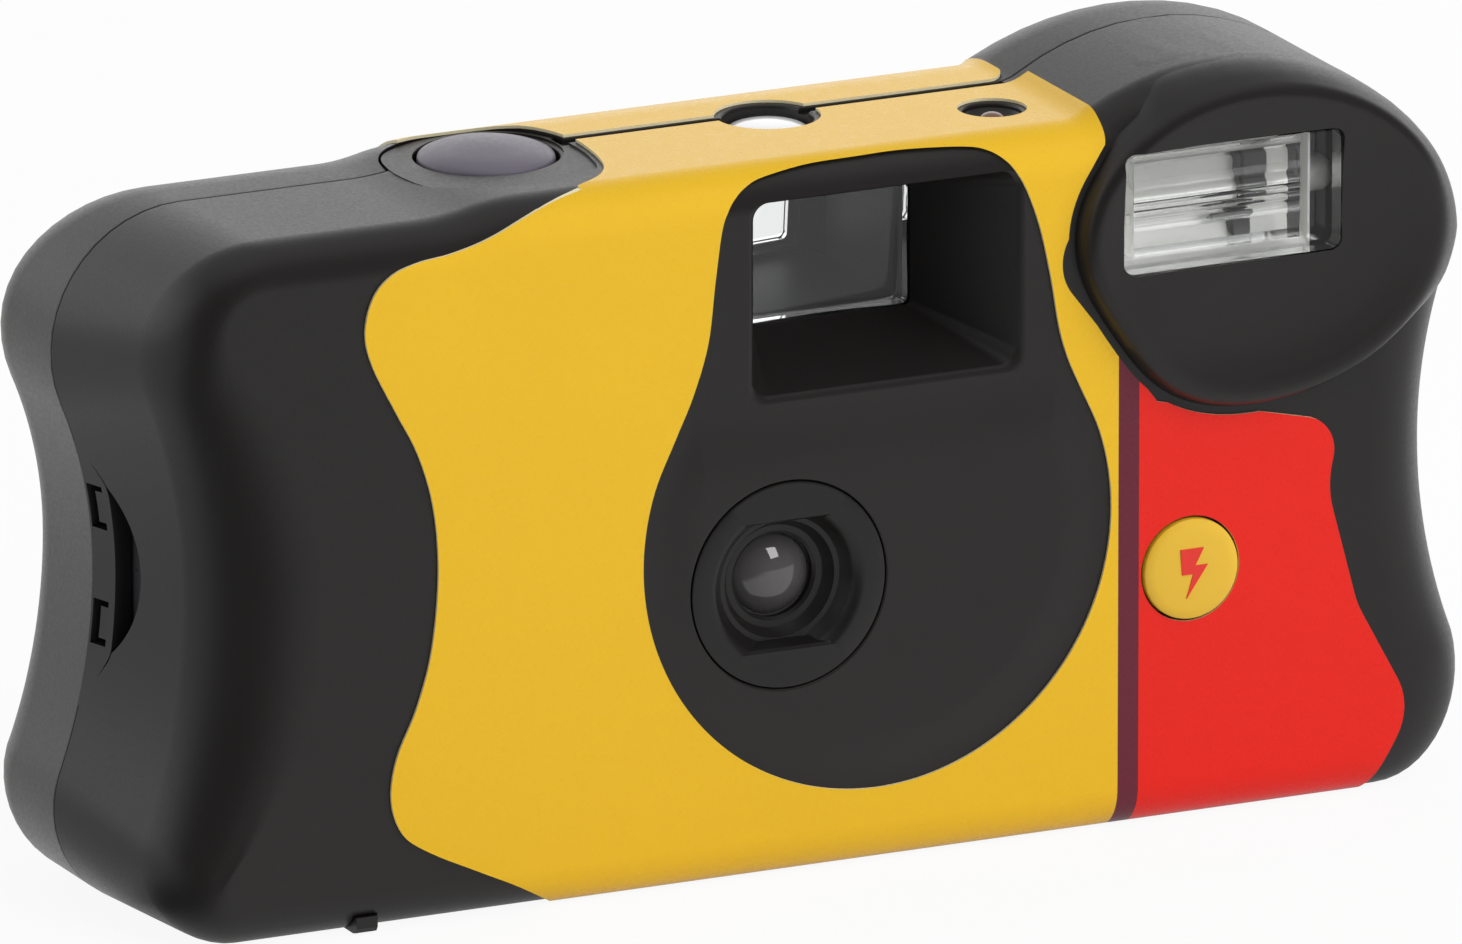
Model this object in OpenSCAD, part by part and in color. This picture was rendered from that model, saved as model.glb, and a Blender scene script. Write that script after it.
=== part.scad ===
// Disposable 35 mm film camera with a built-in flash: two snap-together covers on a chassis.
// Millimetres. +Z is up, the lens looks along -Y and +X is to the right as seen from the front.
// The origin is at the middle of the footprint, on the surface that the camera stands on.

/* [Body] */
// Width over both ends
body_w = 117; // [114:0.5:124]
// Height of the top over the middle
body_h = 57.5; // [57:0.5:62]
// How much lower the top of the grip end is
grip_drop = 1; // [0.5:0.1:1.5]
// How far the flash bulge stands above the top
bulge_up = 3.75; // [3:0.25:6]
// Depth from the flat front to the flat back
body_d = 30; // [29.5:0.5:34]
// Depth of the front cover, from the flat front to the seam
seam_d = 15.8; // [15:0.2:17]
// How far the waist is drawn in at each end
waist_in = 3.5; // [2:0.25:4]
// Height of the waist
waist_z = 28; // [26:0.5:30]
// Wall thickness of the covers
wall = 1.6; // [1.2:0.1:1.8]
// Radius of the lower corners, seen from the front
low_r = 8.5; // [7:0.5:10]
// Radius of the upper corner at the grip end
top_r = 11; // [9:0.5:12]
// Width of the soft rounding from the grip end to the front
grip_round_w = 8; // [7:0.5:9]
// Depth of that rounding
grip_round_d = 8.3; // [7:0.1:9]
// Lean of the front cover's wall at the grip end
grip_draft = 2.3; // [1:0.1:2.6]
// How much deeper the waist of the flat front is at the grip end
grip_dip = 4.5; // [3:0.1:5]
// Rounding from the flash end to the front
end_round = 7; // [5:0.5:8]
// Rounding of the upper and lower front edges
edge_round = 3.5; // [2.5:0.25:4]
// Rounding of the upper back edge
back_top_round = 11; // [9:0.5:12]
// Rounding of the other back edges
back_side_round = 6; // [5:0.5:8]

/* [Labels] */
// Thickness of the labels
label_t = 0.25; // [0.2:0.05:0.4]
// Where the front label ends on the top, left of the middle
label_top_left = 14.5; // [12:0.5:16]
// Where both labels end on the top, right of the middle
label_top_right = 22; // [20:0.5:22]

/* [Lens] */
// Lens axis, right of the middle
lens_x = -2.7; // [-4:0.1:-2]
// Height of the lens axis
lens_z = 24; // [24:0.1:25]
// How far the low field around the lens stands out of the front
mound_h = 0.4; // [0.3:0.1:1]
// Radius of that field
mound_r = 19.6; // [18:0.1:20]
// Radius of the ring in front of the lens
ring_r = 8.4; // [7.8:0.1:8.8]
// Radius of the lens
lens_r = 4.6; // [4:0.1:5]

/* [Viewfinder] */
// Width of the viewfinder lens
vf_w = 14.2; // [13:0.1:15]
// Height of the viewfinder lens
vf_h = 10; // [9:0.1:10.2]
// Middle of the viewfinder, right of the middle
vf_x = 4.7; // [4:0.1:5.2]
// Depth of the viewfinder funnel
vf_d = 8; // [7:0.25:9]
// How much wider the funnel's mouth is, left and right together
vf_flare = 9; // [8:0.25:10]

/* [Flash] */
// Middle of the flash head, right of the middle
head_x = 37.4; // [36.8:0.1:38]
// Half width of the flash head
head_a = 17.4; // [16.5:0.1:17.6]
// Half height of the flash head
head_b = 13.6; // [12.5:0.1:13.8]
// Width of the flash window
window_w = 19.3; // [18:0.1:20]
// Height of the flash window
window_h = 10.1; // [9:0.1:11]
// Radius of the flash button
flash_button_r = 4.1; // [3.6:0.1:4.4]
// Travel of the flash button
flash_travel = 0.9; // [0.5:0.1:1]

/* [Shutter button] */
// Radius of the button
button_r = 5.45; // [5:0.05:5.8]
// Height of the button's dome above its deck
button_up = 1.3; // [1.2:0.1:2.6]
// Radius of the deck around the button
deck_r = 8; // [7.6:0.1:8.4]

/* [Film] */
// Radius of the film cartridge
cartridge_r = 12.3; // [12:0.05:12.5]
// Length of the cartridge's shell
cartridge_l = 43; // [42:0.25:43.5]
// Width of the film
film_w = 35; // [34:0.25:35]
// Width of the film gate
gate_w = 36; // [34:0.5:36]
// Height of the film gate
gate_h = 24; // [22:0.5:24]
// Radius of the unexposed roll
roll_r = 8.5; // [7:0.25:8.5]
// Radius of the thumbwheel
thumbwheel_r = 12.9; // [12.4:0.1:13]
// Grips around the thumbwheel
thumbwheel_grips = 48; // [30:2:60]
// Teeth of the sprocket wheel
sprocket_teeth = 8; // [6:1:10]

/* [Battery] */
// Diameter of the cell
cell_d = 14.2; // [13:0.1:14.3]
// Length of the cell with its nub
cell_l = 50.5; // [49:0.1:50.8]

/* [Clearances] */
// Gap between a moving piece and what it passes
run_gap = 0.3; // [0.2:0.05:0.4]
// Gap around a seated piece
fit_gap = 0.15; // [0.1:0.01:0.2]
// Radial gap of a shaft in its bore
shaft_gap = 0.05; // [0.03:0.01:0.08]

/* [Hidden] */
$fn = 64;

half_w = body_w / 2;
head_up = 2;
front_y = head_up - (body_d + head_up + label_t) / 2;
back_y = front_y + body_d;
seam_y = front_y + seam_d;
in_front = front_y + wall;
in_back = back_y - wall;
in_top = body_h - wall;
grip_h = body_h - grip_drop;
bulge_h = body_h + bulge_up;
arc_steps = 7;
round_steps = 6;

// Film path: the film lies behind the frame, the cartridge at the grip end, the roll at the flash end
film_t = 0.2;
film_y = back_y - 2.9;
frame_back = film_y - fit_gap;
film_low = lens_z - film_w / 2;
film_top = lens_z + film_w / 2;
cartridge_x = 18 - half_w;
cartridge_y = film_y - cartridge_r + 0.25;
cartridge_low = lens_z - cartridge_l / 2;
cartridge_top = lens_z + cartridge_l / 2;
roll_x = half_w - 17.5;
roll_y = film_y - film_t / 2 - roll_r - run_gap;
core_r = 2.5;
pivot_r = 0.8;

// Viewfinder: the lens sits at the bottom of a funnel, just below the top
vf_z = in_top - 3.1 - vf_h / 2;
vf_wall = 1.2;
vf_back = front_y + vf_d;
tunnel_w = vf_w + 2 * (fit_gap + vf_wall);
tunnel_h = vf_h + 2 * (fit_gap + vf_wall);
tunnel_low = vf_z - tunnel_h / 2;
tunnel_top = vf_z + tunnel_h / 2;
tunnel_back = back_y - back_top_round + 4.8;
mouth_w = vf_w + vf_flare;
mouth_shift = 1.3;
mouth_low = vf_z - vf_h / 2 - 3.6;
mouth_top = vf_z + vf_h / 2 + 2.3;

// Flash head at the other end of the front
head_z = body_h - 10.6;
window_x = head_x - 2;
window_z = head_z + 3.7;
flange_w = 0.7;
flash_button_x = half_w - 26.2;
flash_button_z = lens_z - 3.2;

// Shutter button with its deck on the seam
button_x = 37.2 - half_w;
button_y = seam_y - 0.3;
deck_top = body_h - grip_drop / 2;
deck_t = 2.4;
flange_t = 1.2;
flange_low = deck_top - deck_t - fit_gap / 3 - flange_t;
stem_r = 2;
stem_low = lens_z + 18.7;
bracket_top = stem_low + 1.6;
bracket_t = 1.4;

// Frame counter and ready lamp on the top
counter_x = 2.5;
counter_y = seam_y - 1.4;
counter_hole_r = 3.6;
counter_wheel_r = 7.9;
counter_wheel_x = counter_x + 4.5;
counter_wheel_y = counter_y + 0.3;
lamp_x = head_x - 18.2;
lamp_y = front_y + 8.6;
lamp_hole_r = 2.3;
pipe_r = 1.2;

// Thumbwheel above the cartridge
shelf_low = cartridge_top + 0.4;
shelf_t = 1;
wheel_low = shelf_low + shelf_t + run_gap;
wheel_t = 4;
hub_r = 4.9;
pawl_x = cartridge_x + 14.4;
pawl_y = cartridge_y - 9.2;

// Lens barrel of the front cover
ring_front = front_y - mound_h;
ring_back = front_y + 2.3;
seat_y = front_y + 3.4;
barrel_back = seat_y + 0.6;
barrel_wall = 1.4;
plate_front = barrel_back + 1.5;
plate_t = 1.5;
blade_y = barrel_back + run_gap;
blade_t = 0.4;
blade_dx = 5.5;
blade_dz = 4.5;

// Circuit board behind the front cover at the flash end
board_y = front_y + 5.8;
board_t = 1.2;
board_back = board_y + board_t;
board_left = lamp_x + 0.8;
board_top = window_z - window_h / 2 - 2.55;
board_right = half_w - 7.5;

// Battery along the bottom
cell_r = cell_d / 2;
cell_y = in_front + fit_gap + cell_r;
cell_z = wall + fit_gap + cell_r;
cell_left = cartridge_x + cartridge_r + 4;
cell_right = cell_left + cell_l;

// Film door below the cartridge
door_w = 21;
door_t = wall - 0.2;
door_low = 0.1;
door_front = cartridge_y - 10.5;
door_back = cartridge_y + 9.5;
door_tab_w = 1.8;
door_tab_x = cartridge_x + 1.7;

// Sprocket wheel beside the film
sprocket_r = 5.65;
sprocket_x = cartridge_x + 18;
sprocket_y = film_y - film_t / 2 - run_gap - sprocket_r;
sprocket_low = lens_z + 13.9;
lever_x = lens_x - 6.6;
lever_y = front_y + 10.5;
lever_low = sprocket_low + 1.8;

// Points of an arc about [x, z], from angle a0 to a1, each with its outward direction
function arc(x, z, r, a0, a1, out = 1) = [for (i = [0 : arc_steps])
    let (a = a0 + (a1 - a0) * i / arc_steps)
    [x + r * cos(a), z + r * sin(a), out * cos(a), out * sin(a)]];

// Radius of the hollow that joins a round end, dz away, with a waist that is d deeper
function hollow_r(d, dz, r) = (d * d + dz * dz) / (2 * d) - r;

// Outline of the covers seen from the front, drawn in by [grip end, flash end, top, bottom]; at the grip end
// the waist is deeper by dip, and the corners get tighter by tight for each millimetre
function outline(in, dip = 0, tight = 1 / 3) = let (
    left = in[0] - half_w,
    right = half_w - in[1],
    waist_l = waist_in + dip,
    low_rl = max(low_r - (in[0] + in[3]) * tight, 2),
    low_rr = max(low_r - (in[1] + in[3]) / 3, 2),
    top_rl = max(top_r - (in[0] + in[2]) * tight, 2),
    low = in[3],
    top = body_h - in[2],
    grip = grip_h - in[2],
    bulge_out = 1.2,
    bulge_z = body_h - 13.5,
    bulge_r = max(14 - (in[1] + in[2]) / 2, 4),
    bulge_right = right - bulge_out,
    crest_x = head_x - 0.9,
    crest_dx = bulge_right - bulge_r - crest_x,
    crest_dz = bulge_h - in[2] - bulge_z,
    crest_r = (crest_dx * crest_dx + crest_dz * crest_dz - bulge_r * bulge_r) / (2 * (crest_dz - bulge_r)),
    crest_z = bulge_h - in[2] - crest_r,
    crest_turn = atan2(bulge_z - crest_z, crest_dx),
    foot_r = 4 + in[2],
    foot_dz = top + foot_r - crest_z,
    foot_x = crest_x - sqrt((crest_r + foot_r) * (crest_r + foot_r) - foot_dz * foot_dz),
    foot_turn = atan2(foot_dz, crest_x - foot_x),
    step_x = -24,
    step_w = 9,
    step_r = (step_w * step_w + grip_drop * grip_drop) / (4 * grip_drop),
    step_turn = asin(step_w / 2 / step_r),
    low_dzl = waist_z - low - low_rl,
    low_dzr = waist_z - low - low_rr,
    top_dz = grip - top_rl - waist_z,
    bulge_dz = bulge_z - waist_z,
    bulge_in = waist_in - bulge_out,
    hollow_ll = hollow_r(waist_l, low_dzl, low_rl),
    hollow_lr = hollow_r(waist_in, low_dzr, low_rr),
    hollow_tl = hollow_r(waist_l, top_dz, top_rl),
    hollow_tr = hollow_r(bulge_in, bulge_dz, bulge_r),
    turn_ll = asin(low_dzl / (hollow_ll + low_rl)),
    turn_lr = asin(low_dzr / (hollow_lr + low_rr)),
    turn_tl = asin(top_dz / (hollow_tl + top_rl)),
    turn_tr = asin(bulge_dz / (hollow_tr + bulge_r)))
    concat(
        arc(left + low_rl, low + low_rl, low_rl, 180 - turn_ll, 270),
        arc(right - low_rr, low + low_rr, low_rr, 270, 360 + turn_lr),
        arc(right - waist_in + hollow_lr, waist_z, hollow_lr, 180 + turn_lr, 180, -1),
        arc(right - waist_in + hollow_tr, waist_z, hollow_tr, 180, 180 - turn_tr, -1),
        arc(bulge_right - bulge_r, bulge_z, bulge_r, -turn_tr, crest_turn),
        arc(crest_x, crest_z, crest_r, crest_turn, 180 - foot_turn),
        arc(foot_x, top + foot_r, foot_r, -foot_turn, -90, -1),
        arc(step_x, top - step_r, step_r, 90, 90 + step_turn),
        arc(step_x - step_w, grip + step_r, step_r, step_turn - 90, -90, -1),
        arc(left + top_rl, grip - top_rl, top_rl, 90, 180 + turn_tl),
        arc(left + waist_l - hollow_tl, waist_z, hollow_tl, turn_tl, 0, -1),
        arc(left + waist_l - hollow_ll, waist_z, hollow_ll, 0, -turn_ll, -1));

// How much of a side's value counts at a point that looks along [x, z]
function side_mix(v, x, z) =
    x * x * (x < 0 ? v[0] : v[1]) + z * z * (z > 0 ? v[2] : v[3]);

// One ring of a cover, set in by t and turned by angle a from its wall to its flat face; in front, the wall
// at the grip end leans in by grip_draft, meets its rounding at the angle grip_start and has a deeper waist
function cover_ring(round_w, round_d, face_y, way, t, a) = let (
    lean = way > 0 ? [grip_draft, 0, 0, 0] : [0, 0, 0, 0],
    grip_a = grip_start + a * (90 - grip_start) / 90,
    turns = way > 0 ? [grip_a, a, a, a] : [a, a, a, a],
    set_in = [for (i = [0 : 3]) round_w[i] - (round_w[i] - t - lean[i]) * cos(turns[i])],
    deep = [for (i = [0 : 3]) round_d[i] - (round_d[i] - t) * sin(turns[i])],
    ring = way > 0 ? outline(set_in, grip_dip * (1 - cos(grip_a)), grip_tight) : outline(set_in))
    [for (p = ring) [p[0], face_y + way * side_mix(deep, p[2], p[3]), p[1]]];

// Rings from the seam to the flat face
function cover_rings(round_w, round_d, face_y, way, t) = concat(
    [[for (p = outline([t, t, t, t])) [p[0], seam_y, p[1]]]],
    [for (i = [0 : round_steps]) cover_ring(round_w, round_d, face_y, way, t, 90 * i / round_steps)]);

// Triangles between the rings that start at point number s, with n points each
function ring_faces(s, n, rings, turn) = [for (k = [0 : rings - 2], i = [0 : n - 1], half = [0, 1])
    let (a = s + k * n + i, b = s + k * n + (i + 1) % n)
    let (f = half == 0 ? [a, a + n, b + n] : [a, b + n, b])
    turn > 0 ? f : [f[2], f[1], f[0]]];

// Triangles from ring s to the point c at its middle
function cap_faces(s, n, c, turn) = [for (i = [0 : n - 1])
    let (a = s + i, b = s + (i + 1) % n)
    turn > 0 ? [c, b, a] : [c, a, b]];

// Solid that fills the space inside a list of rings
module ring_solid(rings, mid, turn) {
    n = len(rings[0]);
    m = len(rings);
    points = [for (r = rings, p = r) p];
    ends = [[mid[0], rings[0][0][1], mid[1]], [mid[0], rings[m - 1][0][1], mid[1]]];
    polyhedron(concat(points, ends), concat(
        ring_faces(0, n, m, turn),
        cap_faces(0, n, n * m, -turn),
        cap_faces(n * (m - 1), n, n * m + 1, turn)), convexity = 6);
}

// Open shell between outer and inner rings that start on the seam
module ring_shell(outer, inner, mid, turn) {
    n = len(outer[0]);
    mo = len(outer);
    mi = len(inner);
    start = n * mo;
    points = concat([for (r = outer, p = r) p], [for (r = inner, p = r) p]);
    ends = [[mid[0], outer[mo - 1][0][1], mid[1]], [mid[0], inner[mi - 1][0][1], mid[1]]];
    rim = [for (i = [0 : n - 1], half = [0, 1])
        let (j = (i + 1) % n)
        let (f = half == 0 ? [i, j, start + j] : [i, start + j, start + i])
        turn > 0 ? f : [f[2], f[1], f[0]]];
    polyhedron(concat(points, ends), concat(
        ring_faces(0, n, mo, turn),
        cap_faces(n * (mo - 1), n, n * (mo + mi), turn),
        ring_faces(start, n, mi, -turn),
        cap_faces(start + n * (mi - 1), n, n * (mo + mi) + 1, -turn),
        rim), convexity = 8);
}

cover_mid = [0, waist_z];
grip_tight = 0.7;
grip_start = 20;
front_w = [grip_round_w, end_round, edge_round, edge_round];
front_d = [grip_round_d, end_round, edge_round, edge_round];
back_w = [back_side_round, back_side_round, back_top_round, back_side_round];

module front_shell() {
    ring_shell(cover_rings(front_w, front_d, front_y, 1, 0),
        cover_rings(front_w, front_d, front_y, 1, wall), cover_mid, 1);
}

module back_shell() {
    ring_shell(cover_rings(back_w, back_w, back_y, -1, 0),
        cover_rings(back_w, back_w, back_y, -1, wall), cover_mid, -1);
}

module back_solid() {
    ring_solid(cover_rings(back_w, back_w, back_y, -1, 0), cover_mid, -1);
}

// Box between two corners
module box(a, b) {
    translate(a) cube(b - a);
}

// Cylinder along Y, or along Z, from the middle of its first face
module rod_y(x, y, z, r, l) {
    translate([x, y, z]) rotate([-90, 0, 0]) cylinder(r = r, h = l);
}

module rod_z(x, y, z, r, l) {
    translate([x, y, z]) cylinder(r = r, h = l);
}

// Box with rounded upright edges, seen along Y
module slab_y(x, z, w, h, r, y0, y1) {
    translate([x, y1, z]) rotate([90, 0, 0]) linear_extrude(y1 - y0) rounded(w, h, r);
}

module rounded(w, h, r) {
    square([w - 2 * r, h], center = true);
    square([w, h - 2 * r], center = true);
    for (sx = [-1, 1], sz = [-1, 1])
        translate([sx * (w / 2 - r), sz * (h / 2 - r)]) circle(r);
}

mound_x = lens_x + 7.8;
mound_z = lens_z + 2.7;

// Low round field around the lens, sloping back to the front below the viewfinder
module mound() {
    soft = 1.4;
    fade_z = mouth_low - 1;
    fade_w = 6;
    difference() {
        translate([mound_x, front_y + wall / 2, mound_z]) rotate([90, 0, 0]) rotate_extrude()
            polygon(concat([[0, 0], [mound_r, 0]],
                [for (i = [0 : 5]) [mound_r - soft * (1 - cos(18 * i)),
                    wall / 2 + mound_h - soft * (1 - sin(18 * i))]],
                [[0, wall / 2 + mound_h]]));
        translate([mound_x, front_y, fade_z]) rotate([-atan2(mound_h, fade_w), 0, 0])
            translate([-mound_r - 1, -10, -fade_w * 2]) cube([2 * mound_r + 2, 10, fade_w * 2 + mound_r]);
    }
}

// Distance from the head's middle to its oval along angle a; the inner half is less wide than the outer half,
// and its lower side is flatter
head_inner = 1.4;
head_flat = 1.8;
head_flat_turn = 205;
function oval_reach(a) = let (half = cos(a) < 0 ? head_a - head_inner : head_a)
    1 / norm([cos(a) / half, sin(a) / head_b]) - head_flat * pow(max(cos(a - head_flat_turn), 0), 8);

// Distance from the head's middle to the covers' outline o along angle a
function outline_reach(o, a) = let (d = [cos(a), sin(a)], c = [head_x, head_z])
    max([for (i = [0 : len(o) - 1])
        let (p = [o[i][0], o[i][1]] - c, e = [o[(i + 1) % len(o)][0], o[(i + 1) % len(o)][1]] - c - p)
        let (den = cross(d, e), s = den == 0 ? -1 : cross(p, d) / den)
        s >= 0 && s <= 1 ? cross(p, e) / den : 0]);

// Share of the skirt along angle a: all of it towards the outer end and the top, none towards the label
function outer_share(a) = let (turn = a > 180 ? a - 360 : a)
    min(max((turn + 40) / 25, 0), 1) * min(max((135 - turn) / 20, 0), 1);

// Oval of the flash head, drawn in by t
function head_oval(t, steps) = [for (i = [0 : steps - 1]) let (a = 360 * i / steps)
    [head_x + (oval_reach(a) - t) * cos(a), head_z + (oval_reach(a) - t) * sin(a)]];

// Oval flash head: a skirt that grows out of the bulge and a raised rim around a shallow dish
module flash_head() {
    steps = 48;
    skirt_d = 5.5;
    skirt_out = 2.6;
    skirt_least = 0.2;
    skirt = outline([0.1, 0.1, 0.1, 0.1]);
    reach = [for (i = [0 : steps - 1]) let (a = 360 * i / steps)
        max(skirt_least, outer_share(a) * min(outline_reach(skirt, a) - oval_reach(a), skirt_out))];
    outer = [[1, 0, -skirt_d], [0.75, 0, -2], [0.25, 0.5, head_up - 1.2], [0, 0.8, head_up - 0.3],
        [0, 1.6, head_up], [0, 2.4, head_up - 0.25], [0, 3.6, head_up - 1], [0, 5.5, 0.45], [0, 7.5, 0.2]];
    inner = [[1, wall, -skirt_d], [0.75, wall, -2], [0.1, wall, -wall]];
    function oval_ring(p) = [for (i = [0 : steps - 1])
        let (a = 360 * i / steps, r = oval_reach(a) + reach[i] * p[0] - p[1])
        [head_x + r * cos(a), front_y - p[2], head_z + r * sin(a)]];
    ring_shell([for (p = outer) oval_ring(p)], [for (p = inner) oval_ring(p)], [head_x, head_z], 1);
}

// Funnel of the viewfinder, grown by t on all sides and running from y0 to the viewfinder's lens
module funnel(t, y0) {
    thin = 0.01;
    reach = (vf_back - y0) / vf_d;
    hull() {
        translate([vf_x - vf_w / 2 - t, vf_back - thin, vf_z - vf_h / 2 - t])
            cube([vf_w + 2 * t, thin, vf_h + 2 * t]);
        translate([vf_x - vf_w / 2 - t - (vf_flare / 2 - mouth_shift) * reach, y0,
            vf_z - vf_h / 2 - t - (vf_z - vf_h / 2 - mouth_low) * reach])
            cube([vf_w + 2 * t + vf_flare * reach, thin,
                vf_h + 2 * t + (mouth_top - mouth_low - vf_h) * reach]);
    }
}

// Side tongue of the back cover, grown by t
tongue_z = waist_z + 1;
tongue_h = 18;
tongue_front = seam_y - 2.6;
module tongue_box(t) {
    box([-half_w - 1, tongue_front - t, tongue_z - tongue_h / 2 - t],
        [-half_w + 8, seam_y + (t > 0 ? 1 : 0), tongue_z + tongue_h / 2 + t]);
}

// Pry slot in front of the tongue: a round segment
module pry_slot() {
    slot_h = 14.4;
    slot_d = 4.2;
    r = (slot_h * slot_h / 4 + slot_d * slot_d) / (2 * slot_d);
    intersection() {
        translate([-half_w - 1, tongue_front + r - slot_d, tongue_z - 1]) rotate([0, 90, 0])
            cylinder(r = r, h = 9);
        box([-half_w - 1, tongue_front - r, 0], [-half_w + 9, tongue_front, body_h]);
    }
}

module film_door_opening() {
    box([cartridge_x - door_w / 2 - fit_gap, door_front - fit_gap, -1],
        [cartridge_x + door_w / 2 + fit_gap, door_back + fit_gap, wall + 1]);
    box([door_tab_x - door_tab_w / 2 - fit_gap, front_y - 1, -1],
        [door_tab_x + door_tab_w / 2 + fit_gap, door_front, door_low + door_t + fit_gap]);
}

module top_holes() {
    rod_z(counter_x, counter_y, in_top - 1, counter_hole_r, wall + 2);
    rod_z(button_x, button_y, deck_top, deck_r + fit_gap, wall + 2);
}

module front_cover() {
    color([0.2, 0.19, 0.19]) difference() {
        union() {
            difference() {
                front_shell();
                tongue_box(fit_gap);
                top_holes();
            }
            mound();
            flash_head();
            funnel(vf_wall, front_y + wall / 2);
            rod_y(lens_x, front_y + wall / 2, lens_z, ring_r + barrel_wall,
                barrel_back - front_y - wall / 2);
            rod_z(button_x, button_y, deck_top - deck_t, deck_r, deck_t);
            for (p = [[board_left + 2, lens_z + 13.7], [board_right - 3, wall + 5.4]])
                rod_y(p[0], front_y + wall / 2, p[1], 1.6, board_y - front_y - wall / 2);
        }
        funnel(0, front_y - mound_h - 1);
        rod_y(lens_x, ring_front - 1, lens_z, ring_r + shaft_gap, seat_y - ring_front + 1);
        rod_y(lens_x, seat_y - 1, lens_z, lens_r - 1.2, 3);
        slab_y(window_x, window_z, window_w, window_h, 0.6, front_y - head_up - 1, in_front + 3);
        slab_y(window_x, window_z, window_w + 2 * flange_w, window_h + 2 * flange_w, 0.6,
            in_front, in_front + 8);
        rod_y(flash_button_x, front_y - 1, flash_button_z, flash_button_r + run_gap, wall + 2);
        rod_z(button_x, button_y, deck_top - deck_t - 1, button_r + run_gap, deck_t + 2);
        rod_z(lamp_x, lamp_y, body_h - 0.9, lamp_hole_r, 2);
        rod_z(lamp_x, lamp_y, in_top - 1, pipe_r + fit_gap, wall + 2);
        pry_slot();
        film_door_opening();
    }
}

eye_w = 8.6;
eye_h = 6.4;
eye_z = vf_z - 0.6;
eye_front = in_back - 1.5;

module back_cover() {
    scoop_r = 18;
    scoop_y = cartridge_y + thumbwheel_r - 1.4 + scoop_r;
    scoop_z = wheel_low + wheel_t / 2;
    pad_w = 24;
    color([0.22, 0.21, 0.21]) difference() {
        union() {
            difference() {
                back_shell();
                top_holes();
            }
            intersection() {
                front_shell();
                tongue_box(0);
            }
            intersection() {
                back_solid();
                union() {
                    box([cartridge_x - pad_w / 2, in_back - 2.4, wheel_low - 3],
                        [cartridge_x + pad_w / 2, back_y + 1, wheel_low + wheel_t + 3]);
                    box([vf_x - eye_w / 2 - 1.6, eye_front, eye_z - eye_h / 2 - 1.6],
                        [vf_x + eye_w / 2 + 1.6, back_y + 1, eye_z + eye_h / 2 + 1.6]);
                    box([lens_x - gate_w / 2, film_y + film_t / 2 + run_gap, lens_z - gate_h / 2 - 4],
                        [lens_x + gate_w / 2, in_back + wall / 2, lens_z + gate_h / 2 + 4]);
                }
            }
        }
        translate([cartridge_x, scoop_y, scoop_z]) sphere(scoop_r);
        rod_z(cartridge_x, cartridge_y, wheel_low - run_gap, thumbwheel_r + run_gap, wheel_t + 2 * run_gap);
        rod_z(cartridge_x, cartridge_y, wall, cartridge_r + run_gap, wheel_low - run_gap - wall);
        rod_z(button_x, button_y, deck_top - deck_t - 1, deck_r + fit_gap, deck_t + 2);
        slab_y(vf_x, eye_z, eye_w, eye_h, 0.8, eye_front - 1, back_y + 1);
        for (s = [-1, 1])
            box([-half_w - 1, tongue_front + 0.7, tongue_z + s * 4.6 - 1.8],
                [waist_in + 0.8 - half_w, tongue_front + 1.9, tongue_z + s * 4.6 + 1.8]);
        film_door_opening();
    }
}

// Points of a polygon whose corners [x, z, r] are rounded
function rounded_corner(a, b, c) = let (
    u = [a[0] - b[0], a[1] - b[1]] / norm([a[0] - b[0], a[1] - b[1]]),
    w = [c[0] - b[0], c[1] - b[1]] / norm([c[0] - b[0], c[1] - b[1]]),
    half = acos(u * w) / 2,
    mid = [b[0], b[1]] + (u + w) / norm(u + w) * b[2] / sin(half),
    p = [b[0], b[1]] + u * b[2] / tan(half) - mid,
    q = [b[0], b[1]] + w * b[2] / tan(half) - mid,
    a0 = atan2(p[1], p[0]),
    turn = atan2(q[1], q[0]) - a0,
    sweep = turn > 180 ? turn - 360 : turn < -180 ? turn + 360 : turn)
    b[2] == 0 ? [[b[0], b[1]]] : [for (i = [0 : arc_steps])
        let (t = a0 + sweep * i / arc_steps) mid + b[2] * [cos(t), sin(t)]];

function rounded_path(v) = [for (i = [0 : len(v) - 1])
    each rounded_corner(v[(i + len(v) - 1) % len(v)], v[i], v[(i + 1) % len(v)])];

// Section of a label across X: along the top, round the edge and down the face
module label_section(y0, r, face_y, way, low_turn) {
    function bend(z0, rr, a0, a1) = [for (i = [0 : 12]) let (a = a0 + (a1 - a0) * i / 12)
        [face_y + way * (r - rr * cos(a)), z0 + rr * sin(a)]];
    lift = 0.02;
    polygon(concat(
        [[y0, body_h + lift]],
        bend(body_h - r, r + lift, 90, 0),
        low_turn > 0 ? bend(r, r + lift, 0, -low_turn) : [[face_y - way * lift, back_side_round]],
        low_turn > 0 ? bend(r, r + label_t, -low_turn, 0) : [[face_y - way * label_t, back_side_round]],
        bend(body_h - r, r + label_t, 0, 90),
        [[y0, body_h + label_t]]));
}

module label_sheet(y0, r, face_y, way, low_turn) {
    translate([-half_w, 0, 0]) rotate([90, 0, 90]) linear_extrude(body_w)
        label_section(y0, r, face_y, way, low_turn);
}

// Field of the front that the label leaves open: a round part and the viewfinder's part above it
module open_field() {
    circle_gap = 0.7;
    mouth_left = vf_x - mouth_w / 2 + mouth_shift;
    mouth_right = mouth_left + mouth_w;
    translate([mound_x, mound_z]) circle(mound_r + circle_gap);
    polygon(rounded_path([[mouth_left - 5.3, mound_z + 8, 0], [mouth_right + 4.4, mound_z + 8, 0],
        [mouth_right + 1.2, body_h - 0.3, 5], [mouth_left - 2, body_h - 0.3, 5]]));
}

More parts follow.
